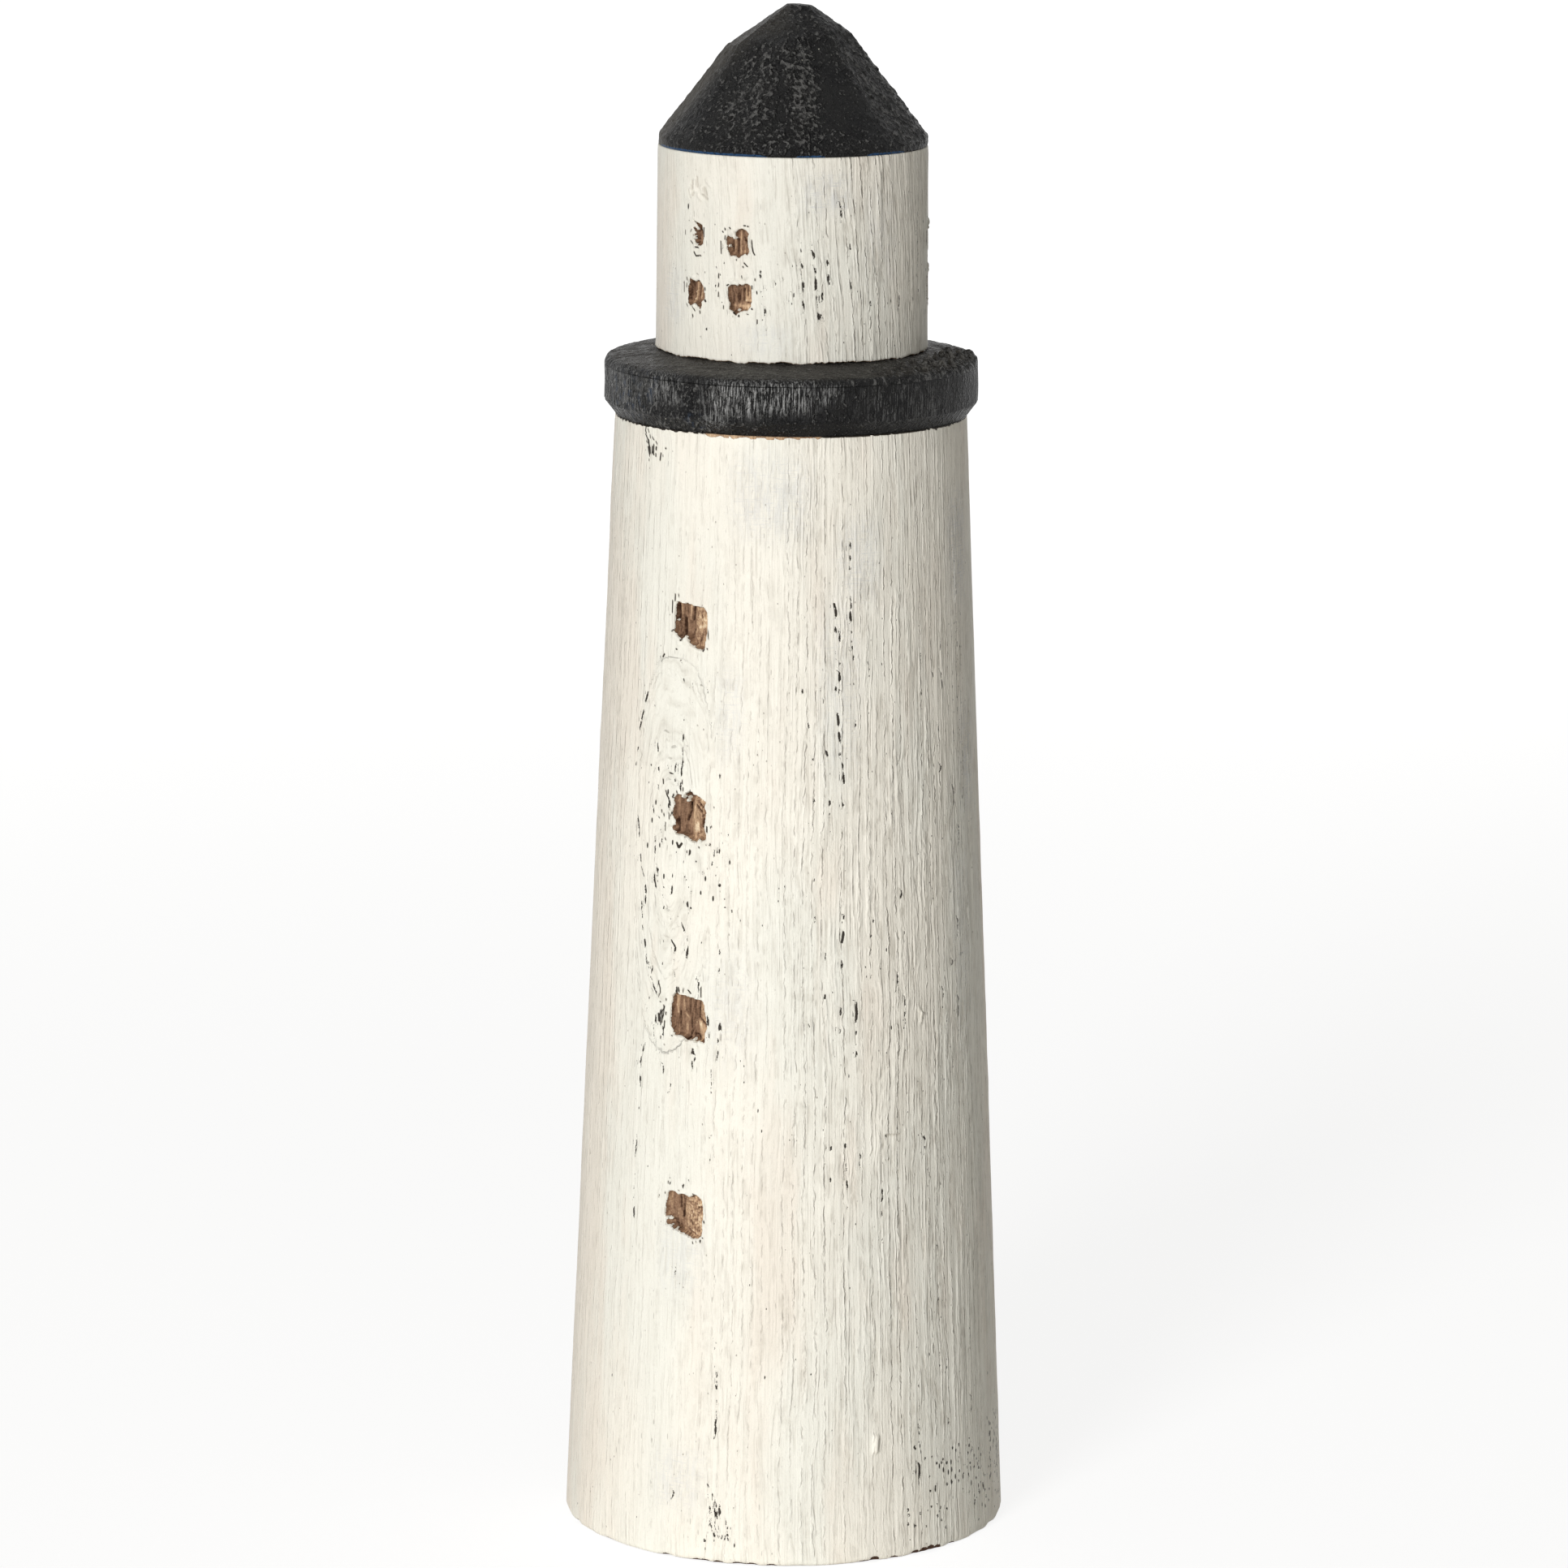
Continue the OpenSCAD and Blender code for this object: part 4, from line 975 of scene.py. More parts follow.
def white_paint(name, shade):
    """Off-white paint, brushed on thickly over a near-black undercoat on grained softwood."""
    material = bpy.data.materials.new(name)
    material.use_nodes = True
    tree = material.node_tree
    tree.nodes.clear()
    skin = add(tree, "ShaderNodeAttribute", attribute_name="skin").node.outputs["Vector"]
    flow = add(tree, "ShaderNodeAttribute", attribute_name="flow").node.outputs["Vector"]
    place = add(tree, "ShaderNodeTexCoord").node.outputs["Object"]
    worn_here = read(tree, "worn")
    heavy = read(tree, "heavy")
    cool = read(tree, "cool")
    # Ridges that the brush left: thick cords, finer threads, and grooves between them
    sway = sums(tree, "SUBTRACT", marks(tree, skin, 2.5 * mm, 6 * mm, 1.0), 0.5)
    aside = add(tree, "ShaderNodeCombineXYZ", {"X": times(tree, sway, 0.7 * mm)})
    grain = add(tree, "ShaderNodeVectorMath", {0: flow, 1: aside}, operation="ADD")

    cords = ridges(tree, grain, 1.6 * mm, 45 * mm, 10.0)
    rope = step(tree, marks(tree, grain, 1.2 * mm, 2.6 * mm, 1.0, 0.5, 8.0), 0.34, 0.62, 0.3, 1.0)
    thick = step(tree, marks(tree, skin, 4 * mm, 30 * mm, 1.0, 0.5, 12.0), 0.42, 0.6, 0.08, 1.0)
    cords = times(tree, cords, times(tree, rope, thick))
    threads = ridges(tree, skin, 0.6 * mm, 45 * mm, 5.0, 21.0)
    beads = step(tree, marks(tree, skin, 1.5 * mm, 6 * mm, 2.0, 0.6, 57.0), 0.36, 0.6, 0.2, 1.0)
    threads = times(tree, threads, beads)
    grooves = ridges(tree, grain, 1.3 * mm, 26 * mm, 14.0, 33.0)
    gaps = marks(tree, grain, 2 * mm, 3 * mm, 2.0, 0.6, 35.0)
    grooves = times(tree, grooves, step(tree, gaps, 0.4, 0.62, 0.1, 1.0))
    patchy = step(tree, marks(tree, skin, 4 * mm, 10 * mm, 2.0, 0.5, 17.0), 0.36, 0.62)
    threads = times(tree, threads, plus(tree, 0.35, patchy))
    hairs = marks(tree, skin, 0.25 * mm, 12 * mm, 2.0, 0.6, 41.0)
    grit = marks(tree, place, 0.35 * mm, 0.5 * mm, 2.0, 0.6, 47.0)
    strokes = marks(tree, place, 2.5 * mm, 0.4 * mm, 2.0, 0.6, 51.0)

    # The colour of the coat, from its broadest patches down to its smallest specks
    broad = marks(tree, skin, 20 * mm, 70 * mm, 2.0)
    colour = mixed(tree, step(tree, broad, 0.4, 0.62), (0.905, 0.868, 0.775, 1), (0.87, 0.855, 0.772, 1))
    blush = marks(tree, skin, 9 * mm, 40 * mm, 3.0, 0.55, 9.0)
    rosy = plus(tree, times(tree, read(tree, "warm"), 0.2), blush)
    colour = mixed(tree, step(tree, rosy, 0.53, 0.77, 0.0, 0.7), colour, (0.86, 0.785, 0.685, 1))
    haze = marks(tree, skin, 0.8 * mm, 4 * mm, 3.0, 0.65, 3.0)
    crossing = marks(tree, place, 3.2 * mm, 0.3 * mm, 3.0, 0.6, 81.0)
    thin = most(tree, step(tree, haze, 0.4, 0.64, 0.08, 0.5), step(tree, crossing, 0.5, 0.66, 0.0, 0.6))
    thin = times(tree, cool, thin)
    colour = mixed(tree, thin, colour, (0.58, 0.6, 0.635, 1))
    # Painted shade, with some dirt: the valleys beside the cords and threads are darkened
    valley_dirt_and_shade = sums(tree, "SUBTRACT", 1.0, most(tree, cords, threads))
    valley_dirt_and_shade = times(tree, valley_dirt_and_shade, times(tree, patchy, plus(tree, 0.1, times(tree, heavy, 0.26))))
    colour = mixed(tree, valley_dirt_and_shade, colour, (0.55, 0.51, 0.43, 1))
    # The grooves are darkened as well, partly dirt and partly painted shade
    deep = times(tree, grooves, plus(tree, 0.16, times(tree, heavy, 0.34)))
    colour = mixed(tree, deep, colour, (0.42, 0.38, 0.31, 1))
    # Thin dark lines along the grain: partly grey-brown hairlines in the paint, partly painted shadow
    # beside the ridges
    streak_shade_and_dirt = marks(tree, grain, 0.3 * mm, 14 * mm, 3.0, 0.6, 6.0)
    colour = mixed(tree, step(tree, streak_shade_and_dirt, 0.55, 0.74, 0.0, 0.35), colour, (0.5, 0.47, 0.4, 1))
    hair_shade_and_dirt = flecks(tree, grain, 0.7 * mm, 5 * mm, 0.15, 0.4, 7.0)
    colour = mixed(tree, times(tree, hair_shade_and_dirt, times(tree, patchy, 0.55)), colour, (0.3, 0.28, 0.24, 1))
    tick = flecks(tree, grain, 0.9 * mm, 1.6 * mm, 0.16, 0.16, 14.0)
    colour = mixed(tree, times(tree, tick, times(tree, patchy, 0.7)), colour, (0.24, 0.21, 0.17, 1))
    speckle = marks(tree, place, 0.3 * mm, 0.5 * mm, 2.0, 0.7, 63.0)
    colour = mixed(tree, step(tree, speckle, 0.56, 0.74, 0.0, 0.22), colour, (0.5, 0.47, 0.41, 1))

    # Where the coat is worn through to the undercoat: along growth rings and seams, and in specks
    broken = marks(tree, place, 0.5 * mm, 1.2 * mm, 3.0, 0.7, 23.0)
    ragged = marks(tree, place, 0.4 * mm, 0.4 * mm, 2.0, 0.6, 31.0)
    fray = sums(tree, "SUBTRACT", ragged, 0.5)
    ring = read(tree, "ring")
    to_line = sums(tree, "FRACT", plus(tree, ring, 0.5))
    ring_off = times(tree, sums(tree, "ABSOLUTE", sums(tree, "SUBTRACT", to_line, 0.5)), ring_gap / mm)
    number = sums(tree, "FLOOR", plus(tree, ring, 0.5))
    luck = add(tree, "ShaderNodeTexWhiteNoise", {"W": number}, noise_dimensions="1D").node.outputs["Value"]
    # The other rings show as crusty broken lines, with a raised edge and a crack beside them
    wobble = sums(tree, "SUBTRACT", marks(tree, place, 1.1 * mm, 1.7 * mm, 2.0, 0.6, 71.0), 0.5)
    line_at = times(tree, sums(tree, "SUBTRACT", to_line, 0.5), ring_gap / mm)
    line_at = plus(tree, line_at, times(tree, wobble, 0.9))
    crumbs = step(tree, marks(tree, grain, 1.0 * mm, 2.4 * mm, 2.0, 0.6, 75.0), 0.42, 0.6)
    crumbs = times(tree, crumbs, plus(tree, 0.35, times(tree, heavy, 0.65)))
    crumbs = times(tree, crumbs, step(tree, luck, 0.1, 0.5, 0.25, 1.0))
    edge_off = sums(tree, "ABSOLUTE", plus(tree, line_at, 0.2))
    edge = times(tree, crumbs, step(tree, edge_off, 0.0, 0.24, 1.0, 0.0))
    crack_off = sums(tree, "ABSOLUTE", plus(tree, line_at, -0.1))
    crack = times(tree, crumbs, step(tree, crack_off, 0.0, 0.13, 1.0, 0.0))
    colour = mixed(tree, times(tree, crack, 0.6), colour, (0.36, 0.32, 0.26, 1))
    worn_ring = times(tree, worn_here, step(tree, luck, 0.0, 0.7, 0.75, 1.0))
    need = sums(tree, "MULTIPLY_ADD", worn_ring, -0.36, 0.82)
    ring_wide = times(tree, sums(tree, "SUBTRACT", broken, need), 2.6)
    ring_wide = sums(tree, "MINIMUM", ring_wide, 0.18)
    ring_dark = step(tree, sums(tree, "SUBTRACT", ring_wide, ring_off), -0.03, 0.03)
    seam_off = sums(tree, "ABSOLUTE", plus(tree, read(tree, "seam"), times(tree, fray, 0.22)))
    seam_on = read(tree, "seam_on")
    need = sums(tree, "MULTIPLY_ADD", seam_on, -0.28, 0.73)
    seam_most = sums(tree, "MULTIPLY_ADD", seam_on, 0.12, 0.08)
    seam_wide = times(tree, sums(tree, "SUBTRACT", broken, need), 3.0)
    seam_wide = sums(tree, "MINIMUM", seam_wide, seam_most)
    seam_dark = step(tree, sums(tree, "SUBTRACT", seam_wide, seam_off), -0.04, 0.04)
    seam_dark = times(tree, seam_dark, step(tree, seam_on, 0.05, 0.15))
    share = times(tree, plus(tree, worn_here, 0.03), 0.1)
    stray = flecks(tree, grain, 0.9 * mm, 3.0 * mm, 0.15, share)
    share = times(tree, plus(tree, worn_here, 0.02), 0.13)
    stray_fine = flecks(tree, grain, 0.6 * mm, 1.4 * mm, 0.17, share, 5.0)
    specks = read(tree, "specks")
    dots = flecks(tree, place, 1.1 * mm, 1.4 * mm, 0.3, times(tree, specks, 0.5))
    pits = flecks(tree, place, 0.8 * mm, 2.2 * mm, 0.3, times(tree, specks, 0.35), 9.0)
    dots = times(tree, dots, step(tree, ragged, 0.4, 0.5))
    dark = most(tree, most(tree, ring_dark, seam_dark), most(tree, stray, stray_fine))
    nick = read(tree, "nick")
    dark = most(tree, most(tree, dark, most(tree, dots, pits)), step(tree, nick, 0.42, 0.56))
    # Round each nick the coat is stained brown-grey with dirt; in scuff grooves this is partly painted
    # shade
    colour = mixed(tree, step(tree, nick, 0.0, 0.42, 0.0, 0.55), colour, (0.4, 0.36, 0.3, 1))
    colour = mixed(tree, dark, colour, (0.026, 0.02, 0.014, 1))

    # Bare wood in the cuts, with a dark edge of undercoat round it, which also serves as painted shade at
    # the rim of each cut
    tone = read(tree, "tone")
    bare_here = plus(tree, read(tree, "bare"), times(tree, fray, 0.35))
    wood = step(tree, bare_here, 0.47, 0.53)
    colour = mixed(tree, step(tree, bare_here, 0.42, 0.47), colour, (0.07, 0.04, 0.025, 1))
    colour = mixed(tree, wood, colour, bare_wood_colour(tree, skin, tone))
    # Below 1, shade darkens the coat but not the bare wood: painted shade on a darker copy of the coat
    dim = mixed(tree, wood, (shade, shade, shade, 1), (1, 1, 1, 1))
    colour = add(tree, "ShaderNodeVectorMath", {0: colour, 1: dim}, operation="MULTIPLY")
    # The coat is made lighter on the lower two thirds of the tower: painted light, for the brighter light
    # that falls low on it
    rise = add(tree, "ShaderNodeSeparateXYZ", {"Vector": skin}).node.outputs["Z"]
    painted_low_light = step(tree, rise, 130 * mm, 200 * mm, 1.06, 1.01)
    colour = add(tree, "ShaderNodeVectorMath", {0: colour, "Scale": painted_low_light}, operation="SCALE")

    # Relief that is too fine for the mesh
    relief = times(tree, cords, plus(tree, 0.05, times(tree, heavy, 0.17)))
    relief = plus(tree, relief, times(tree, threads, plus(tree, 0.04, times(tree, heavy, 0.02))))
    relief = plus(tree, relief, times(tree, edge, 0.15))
    relief = sums(tree, "SUBTRACT", relief, times(tree, crack, 0.1))
    deep = times(tree, grooves, plus(tree, 0.03, times(tree, heavy, 0.05)))
    relief = sums(tree, "SUBTRACT", relief, deep)
    relief = plus(tree, relief, times(tree, hairs, 0.06))
    relief = plus(tree, relief, times(tree, grit, 0.05))
    relief = plus(tree, relief, times(tree, strokes, times(tree, cool, 0.12)))
    ring_lip = step(tree, ring_off, 0.0, 0.35)
    ring_lip = times(tree, ring_lip, step(tree, worn_here, 0.3, 0.8))
    ring_lip = times(tree, ring_lip, step(tree, luck, 0.0, 0.3, 0.02, 0.08))
    relief = plus(tree, relief, ring_lip)
    seam_lip = times(tree, sums(tree, "SUBTRACT", 1.0, step(tree, seam_off, 0.0, 0.4)), seam_on)
    relief = sums(tree, "SUBTRACT", relief, times(tree, seam_lip, 0.08))
    relief = sums(tree, "SUBTRACT", relief, times(tree, dark, 0.06))
    bumped = add(tree, "ShaderNodeBump", {"Height": relief, "Strength": 1.0, "Distance": 1.0 * mm})
    dull = step(tree, bare_here, 0.4, 0.55, 0.52, 0.85)
    shader = add(
        tree, "ShaderNodeBsdfPrincipled",
        {"Base Color": colour, "Roughness": dull, "Normal": bumped, "Specular IOR Level": 0.25},
    )
    add(tree, "ShaderNodeOutputMaterial", {"Surface": shader})
    return material


def place_block(block, material, node):
    """Gives a finished block its paint, and puts it in its solid's place."""
    block.data.materials.append(material)
    bpy.ops.object.select_all(action="DESELECT")
    block.select_set(True)
    bpy.context.view_layer.objects.active = block
    bpy.ops.object.shade_smooth_by_angle(angle=radians(60))
    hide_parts(node)
    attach(block, "root")


place_block(tower, white_paint("white paint on the tower", 1.0), "tower")


# Gallery. A thick disc of softwood, bored for the long dowel and shaped by hand: its top falls to
# a rounded rim and its underside is bevelled. It is painted black with a stiff, sticky brush.
gallery_low, gallery_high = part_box("gallery")[0].z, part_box("gallery")[1].z
gallery_radius = 36.45 * mm
gallery_fall = 2 * mm
fall_start = 23 * mm
rim_round = 1.5 * mm
bevel_high = 2.8 * mm
bevel_wide = 2.1 * mm
rim_top = gallery_high - gallery_fall
rim_radius = gallery_radius - rim_round
gallery_columns = 560
bevel_top = gallery_low + bevel_high
top_radii = even(rim_radius, fall_start, 40)
gallery = spun(
    "gallery_disc",
    [(bore_radius, gallery_low)]
    + [(radius, gallery_low) for radius in even(14 * mm, gallery_radius - bevel_wide, 4)]
    + [
        (gallery_radius - bevel_wide * (1 - i / 7), gallery_low + bevel_high * i / 7)
        for i in range(8)
    ]
    + [(gallery_radius, height) for height in even(bevel_top + 0.4 * mm, rim_top - rim_round, 16)]
    + [
        (rim_radius + rim_round * cos(turn), rim_top - rim_round * (1 - sin(turn)))
        for turn in even(0, pi / 2, 7)
    ]
    + [
        (radius, rim_top + gallery_fall * (rim_radius - radius) / (rim_radius - fall_start))
        for radius in top_radii
    ]
    + [(fall_start, gallery_high), (14 * mm, gallery_high), (bore_radius, gallery_high)],
    gallery_columns,
)

# Where a hand or a box has rubbed the black paint grey, and where it is thin and bluish
gallery_rubs = [
    (-17, 228, 6, 3.4, 1.0), (-4, 228.5, 7, 3, 0.9), (-24, 225, 3, 3, 0.6), (10, 229, 4, 2, 0.5),
    (-62, 227, 6, 5, 0.5), (-43, 229, 5, 3, 0.55), (40, 226, 12, 4, 0.25), (150, 228, 9, 4, 0.9),
    (-130, 227, 9, 4, 0.7),
]
gallery_cool = [
    (-62, 226, 6, 4, 1.0), (-50, 229, 3, 3, 0.8), (-31, 223, 2, 1.5, 0.9), (120, 226, 6, 4, 0.8),
]
skins, dabs, lumpiness, rubbed, cool, dust_and_painted_light = [], [], [], [], [], []
for vertex in gallery.data.vertices:
    x, y, height = vertex.co
    out = hypot(x, y)
    bearing = atan2(x, -y)
    skins.append((x, y, height))
    dab_way = (x, y, height)
    lumpy = 0.3 + 0.7 * max(0, cos(turn_from(bearing, radians(-48)))) ** 3
    on_top = 0
    if height > rim_top - rim_round and out > 20 * mm:
        slant_x, slant_y = 0.94 * x - 0.34 * y, 0.34 * x + 0.94 * y
        stroke = noise.noise(Vector((slant_x / (9 * mm), slant_y / (0.9 * mm), 3.0)))
        stroke += 0.6 * noise.noise(Vector((slant_x / (3 * mm), slant_y / (1.6 * mm), 5.0)))
        lump = noise.noise(Vector((x / (1.3 * mm), y / (1.0 * mm), 8.0)))
        torn = max(0, cos(turn_from(bearing, radians(66)))) ** 5
        dab_way = (0.3 * height, slant_y, slant_x)
        lumpy = 0.55 + 0.8 * torn
        # The top face gets the lighter dust colour, which also paints on it the light that falls from
        # above
        on_top = 0.5 * eased(height, rim_top - 0.5 * mm, rim_top + 0.2 * mm)
        flake = noise.noise(Vector((x / (2.4 * mm), y / (1.2 * mm), 12.0)))
        drop = 0.2 - 0.16 * stroke - 0.1 * lump + torn * (0.35 * abs(flake) + 0.25 * max(0, lump))
        height -= max(drop, 0) * mm
        if torn > 0.3 and out > 29 * mm:
            curl = noise.noise(Vector((x / (1.5 * mm), y / (0.9 * mm), 17.0)))
            height += 2.2 * mm * max(0, curl - 0.05) * torn
    if out > gallery_radius - bevel_wide - 0.2 * mm and height < rim_top - 0.1 * mm:
        groove = drawn(bearing, height, 0.8 * mm, 9 * mm, 70)
        dab = drawn(bearing, height, 2.2 * mm, 5 * mm, 72)
        dent = drawn(bearing, height, 8 * mm, 6 * mm, 74)
        rough = 0.5 + 0.9 * max(0, cos(turn_from(bearing, radians(-45)))) ** 2
        out -= (0.16 - rough * (0.1 * groove + 0.13 * dab) - 0.14 * dent) * mm
    elif out > gallery_radius - bevel_wide - 0.5 * mm:
        out -= max(0, 0.1 + 0.25 * drawn(bearing, height, 3 * mm, 9 * mm, 76)) * mm
    vertex.co = (out * sin(bearing), -out * cos(bearing), height)
    dabs.append(dab_way)
    dust_and_painted_light.append(on_top)
    lumpiness.append(lumpy)
    rubbed.append(strongest(gallery_rubs, bearing, height, gallery_radius))
    cool.append(strongest(gallery_cool, bearing, height, gallery_radius))
store(gallery, "skin", skins, "FLOAT_VECTOR")
store(gallery, "dab", dabs, "FLOAT_VECTOR")
store(gallery, "lumpy", lumpiness)
store(gallery, "dust_and_painted_light", dust_and_painted_light)
store(gallery, "rubbed", rubbed)
store(gallery, "cool", cool)


def black_paint():
    """Thick charcoal-black paint, dabbed and dragged with a stiff brush, dull with some sheen."""
    material = bpy.data.materials.new("black paint on softwood")
    material.use_nodes = True
    tree = material.node_tree
    tree.nodes.clear()
    skin = add(tree, "ShaderNodeAttribute", attribute_name="skin").node.outputs["Vector"]
    place = add(tree, "ShaderNodeTexCoord").node.outputs["Object"]
    soot = marks(tree, skin, 5 * mm, 7 * mm, 4.0, 0.6)
    soot_on = step(tree, soot, 0.35, 0.65)
    colour = mixed(tree, soot_on, (0.0065, 0.0065, 0.0068, 1), (0.013, 0.0128, 0.0125, 1))
    dab = add(tree, "ShaderNodeAttribute", attribute_name="dab").node.outputs["Vector"]
    lumpy = read(tree, "lumpy")
    coarse = plus(tree, marks(tree, dab, 0.8 * mm, 1.1 * mm, 2.0, 0.5, 11.0), times(tree, lumpy, 0.15))
    fine = plus(tree, marks(tree, place, 0.5 * mm, 0.6 * mm, 2.0, 0.6, 15.0), times(tree, lumpy, 0.12))
    lump = step(tree, coarse, 0.52, 0.8)
    crust = step(tree, fine, 0.52, 0.8)
    # Lighter grey on the crests of the lumps: painted highlights, standing in for glints
    high = times(tree, step(tree, coarse, 0.67, 0.8), 0.7)
    high = plus(tree, high, times(tree, step(tree, fine, 0.64, 0.76), 0.4))
    colour = mixed(tree, high, colour, (0.12, 0.118, 0.114, 1))
    # Dust, lighter brown-grey; on the gallery's top face it is also painted light
    dust_and_painted_light = marks(tree, skin, 0.5 * mm, 4 * mm, 3.0, 0.65, 13.0)
    dust_and_painted_light = times(tree, read(tree, "dust_and_painted_light"), step(tree, dust_and_painted_light, 0.3, 0.7, 0.6, 1.0))
    colour = mixed(tree, dust_and_painted_light, colour, (0.075, 0.068, 0.058, 1))
    drag = marks(tree, skin, 0.3 * mm, 3 * mm, 3.0, 0.65, 3.0)
    rub = times(tree, read(tree, "rubbed"), step(tree, drag, 0.47, 0.62))
    colour = mixed(tree, times(tree, rub, 0.85), colour, (0.43, 0.43, 0.425, 1))
    haze = marks(tree, place, 1.3 * mm, 2.0 * mm, 3.0, 0.6, 7.0)
    thin = times(tree, read(tree, "cool"), step(tree, haze, 0.5, 0.66, 0.0, 0.6))
    colour = mixed(tree, thin, colour, (0.035, 0.055, 0.095, 1))
    under = marks(tree, place, 0.9 * mm, 0.3 * mm, 3.0, 0.6, 27.0)
    under = plus(tree, read(tree, "under"), times(tree, sums(tree, "SUBTRACT", under, 0.5), 0.8))
    colour = mixed(tree, step(tree, under, 0.46, 0.56), colour, (0.02, 0.06, 0.14, 1))
    dust = flecks(tree, place, 1.6 * mm, 1.6 * mm, 0.085, 0.022, 2.0)
    colour = mixed(tree, dust, colour, (0.7, 0.68, 0.58, 1))
    pimples = marks(tree, place, 0.9 * mm, 0.9 * mm, 3.0, 0.65, 19.0)
    relief = times(tree, pimples, 0.25)
    relief = plus(tree, relief, times(tree, drag, 0.1))
    relief = plus(tree, relief, plus(tree, times(tree, lump, 0.45), times(tree, crust, 0.16)))
    bumped = add(tree, "ShaderNodeBump", {"Height": relief, "Strength": 1.0, "Distance": 1.0 * mm})
    gloss = sums(tree, "MULTIPLY_ADD", lump, -0.2, step(tree, soot, 0.4, 0.65, 0.36, 0.44))
    gloss = most(tree, gloss, times(tree, dust_and_painted_light, 0.7))
    shader = add(
        tree, "ShaderNodeBsdfPrincipled",
        {"Base Color": colour, "Roughness": gloss, "Normal": bumped, "Specular IOR Level": 0.1},
    )
    add(tree, "ShaderNodeOutputMaterial", {"Surface": shader})
    return material


blacking = black_paint()
place_block(gallery, blacking, "gallery")


# Lantern room. A short round block of the same softwood, glued on the long dowel, painted like the
# tower, with groups of four small panes chopped in. Its paint runs out over the gallery in a skirt.
lantern_low, lantern_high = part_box("lantern_room")[0].z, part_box("lantern_room")[1].z
lantern_radius = 26.1 * mm
lantern_swell = 0.4 * mm
skirt_low = lantern_low - 0.6 * mm
lantern_bore_deep = 14.8 * mm
roof_bore_radius = 4.1 * mm
roof_bore_deep = 12.8 * mm
lantern_columns = 460


def lantern_skin(height):
    """The lantern room's radius at a height: it swells a little towards its skirt."""
    share = (lantern_high - height) / (lantern_high - lantern_low)
    skirt = max(0, 1 - (height - skirt_low) / (2.2 * mm))
    return lantern_radius + lantern_swell * share * 0.8 + 0.12 * mm * skirt ** 2


wall_heights = [skirt_low + 0.25 * mm, skirt_low + 0.6 * mm]
wall_heights += even(skirt_low + 1.1 * mm, lantern_high - 0.5 * mm, 66)
wall_heights += [lantern_high - 0.5 * mm, lantern_high - 0.15 * mm]
lantern = spun(
    "lantern_block",
    [(0, lantern_low + lantern_bore_deep), (bore_radius, lantern_low + lantern_bore_deep)]
    + [(bore_radius, lantern_low), (14 * mm, lantern_low), (fall_start, lantern_low)]
    + [(lantern_skin(skirt_low) - 0.35 * mm, skirt_low)]
    + [(lantern_skin(height), height) for height in wall_heights]
    + [(lantern_radius - 0.15 * mm, lantern_high), (14 * mm, lantern_high)]
    + [(roof_bore_radius, lantern_high), (roof_bore_radius, lantern_high - roof_bore_deep)]
    + [(0, lantern_high - roof_bore_deep)],
    lantern_columns,
)

pane_top_left = {
    "bearing": -45.6, "height": 257.7, "crumb": 0.15,
    "outline": [
        (-0.5, 2.5), (0.6, 2.0), (1.4, 1.9), (2.0, 1.6), (2.3, 0.5), (2.4, -0.8),
        (2.3, -1.9), (1.6, -2.4), (0.6, -2.3), (-0.1, -1.3), (-0.1, -0.3), (0.4, 0.1),
        (-0.4, 1.0), (0.3, 1.1), (0.9, 0.5), (1.2, 0.8), (0.6, 1.6), (0.0, 2.0),
    ],
    "floor": [(-0.5, 1.2, 0.3), (0.9, 1.3, 0.25), (1.7, 0.9, 0.4), (2.4, 0.7, 0.35)],
    "strokes": [
        (-0.67, 1.1, -1.15, 0.0, 0.17, 0.3, -0.2), (-1.15, 0.0, -1.0, -1.3, 0.17, 0.35, -0.2),
        (-1.0, -1.3, 0.3, -2.6, 0.2, 0.35, -0.2), (-1.7, 1.7, -2.5, 0.0, 0.18, 0.25, 0),
        (-2.5, 0.0, -2.0, -1.3, 0.18, 0.25, 0), (-0.3, 1.4, -0.7, 0.0, 0.22, -0.35, 0.3),
        (-0.7, 0.0, -0.4, -1.2, 0.25, -0.4, 0.3), (-1.7, 0.8, -1.8, -0.9, 0.3, -0.35, 0),
        (-1.0, 2.4, -2.0, 1.2, 0.35, -0.3, 0), (1.3, 1.2, 1.5, -1.2, 0.15, 0.3, -0.2),
        (1.9, 0.4, 1.9, -1.4, 0.14, -0.15, 0.25), (0.9, -0.4, 1.1, -1.5, 0.18, -0.2, 0.3),
        (-0.9, -2.3, 0.6, -3.1, 0.3, -0.3, 0),
    ],
    "lumps": [(0.1, -0.9, 0.4, 0.35), (0.3, -2.5, 0.6, 0.3), (-0.3, 2.9, 0.5, 0.2)],
    "nicks": [
        (0.0, -3.7, 0.35, -4.2, 0.14), (0.5, -4.4, 1.3, -4.3, 0.14), (1.6, -4.2, 1.8, -4.3, 0.12),
        (-0.75, 0.6, -1.1, 0.1, 0.09), (-1.0, -1.6, -0.4, -2.1, 0.1), (0.5, -2.7, 1.2, -2.75, 0.13),
        (2.55, 1.2, 2.6, -0.6, 0.1), (-2.6, 0.3, -2.6, -0.6, 0.06), (0.6, -0.1, 0.5, -0.8, 0.12),
    ],
}
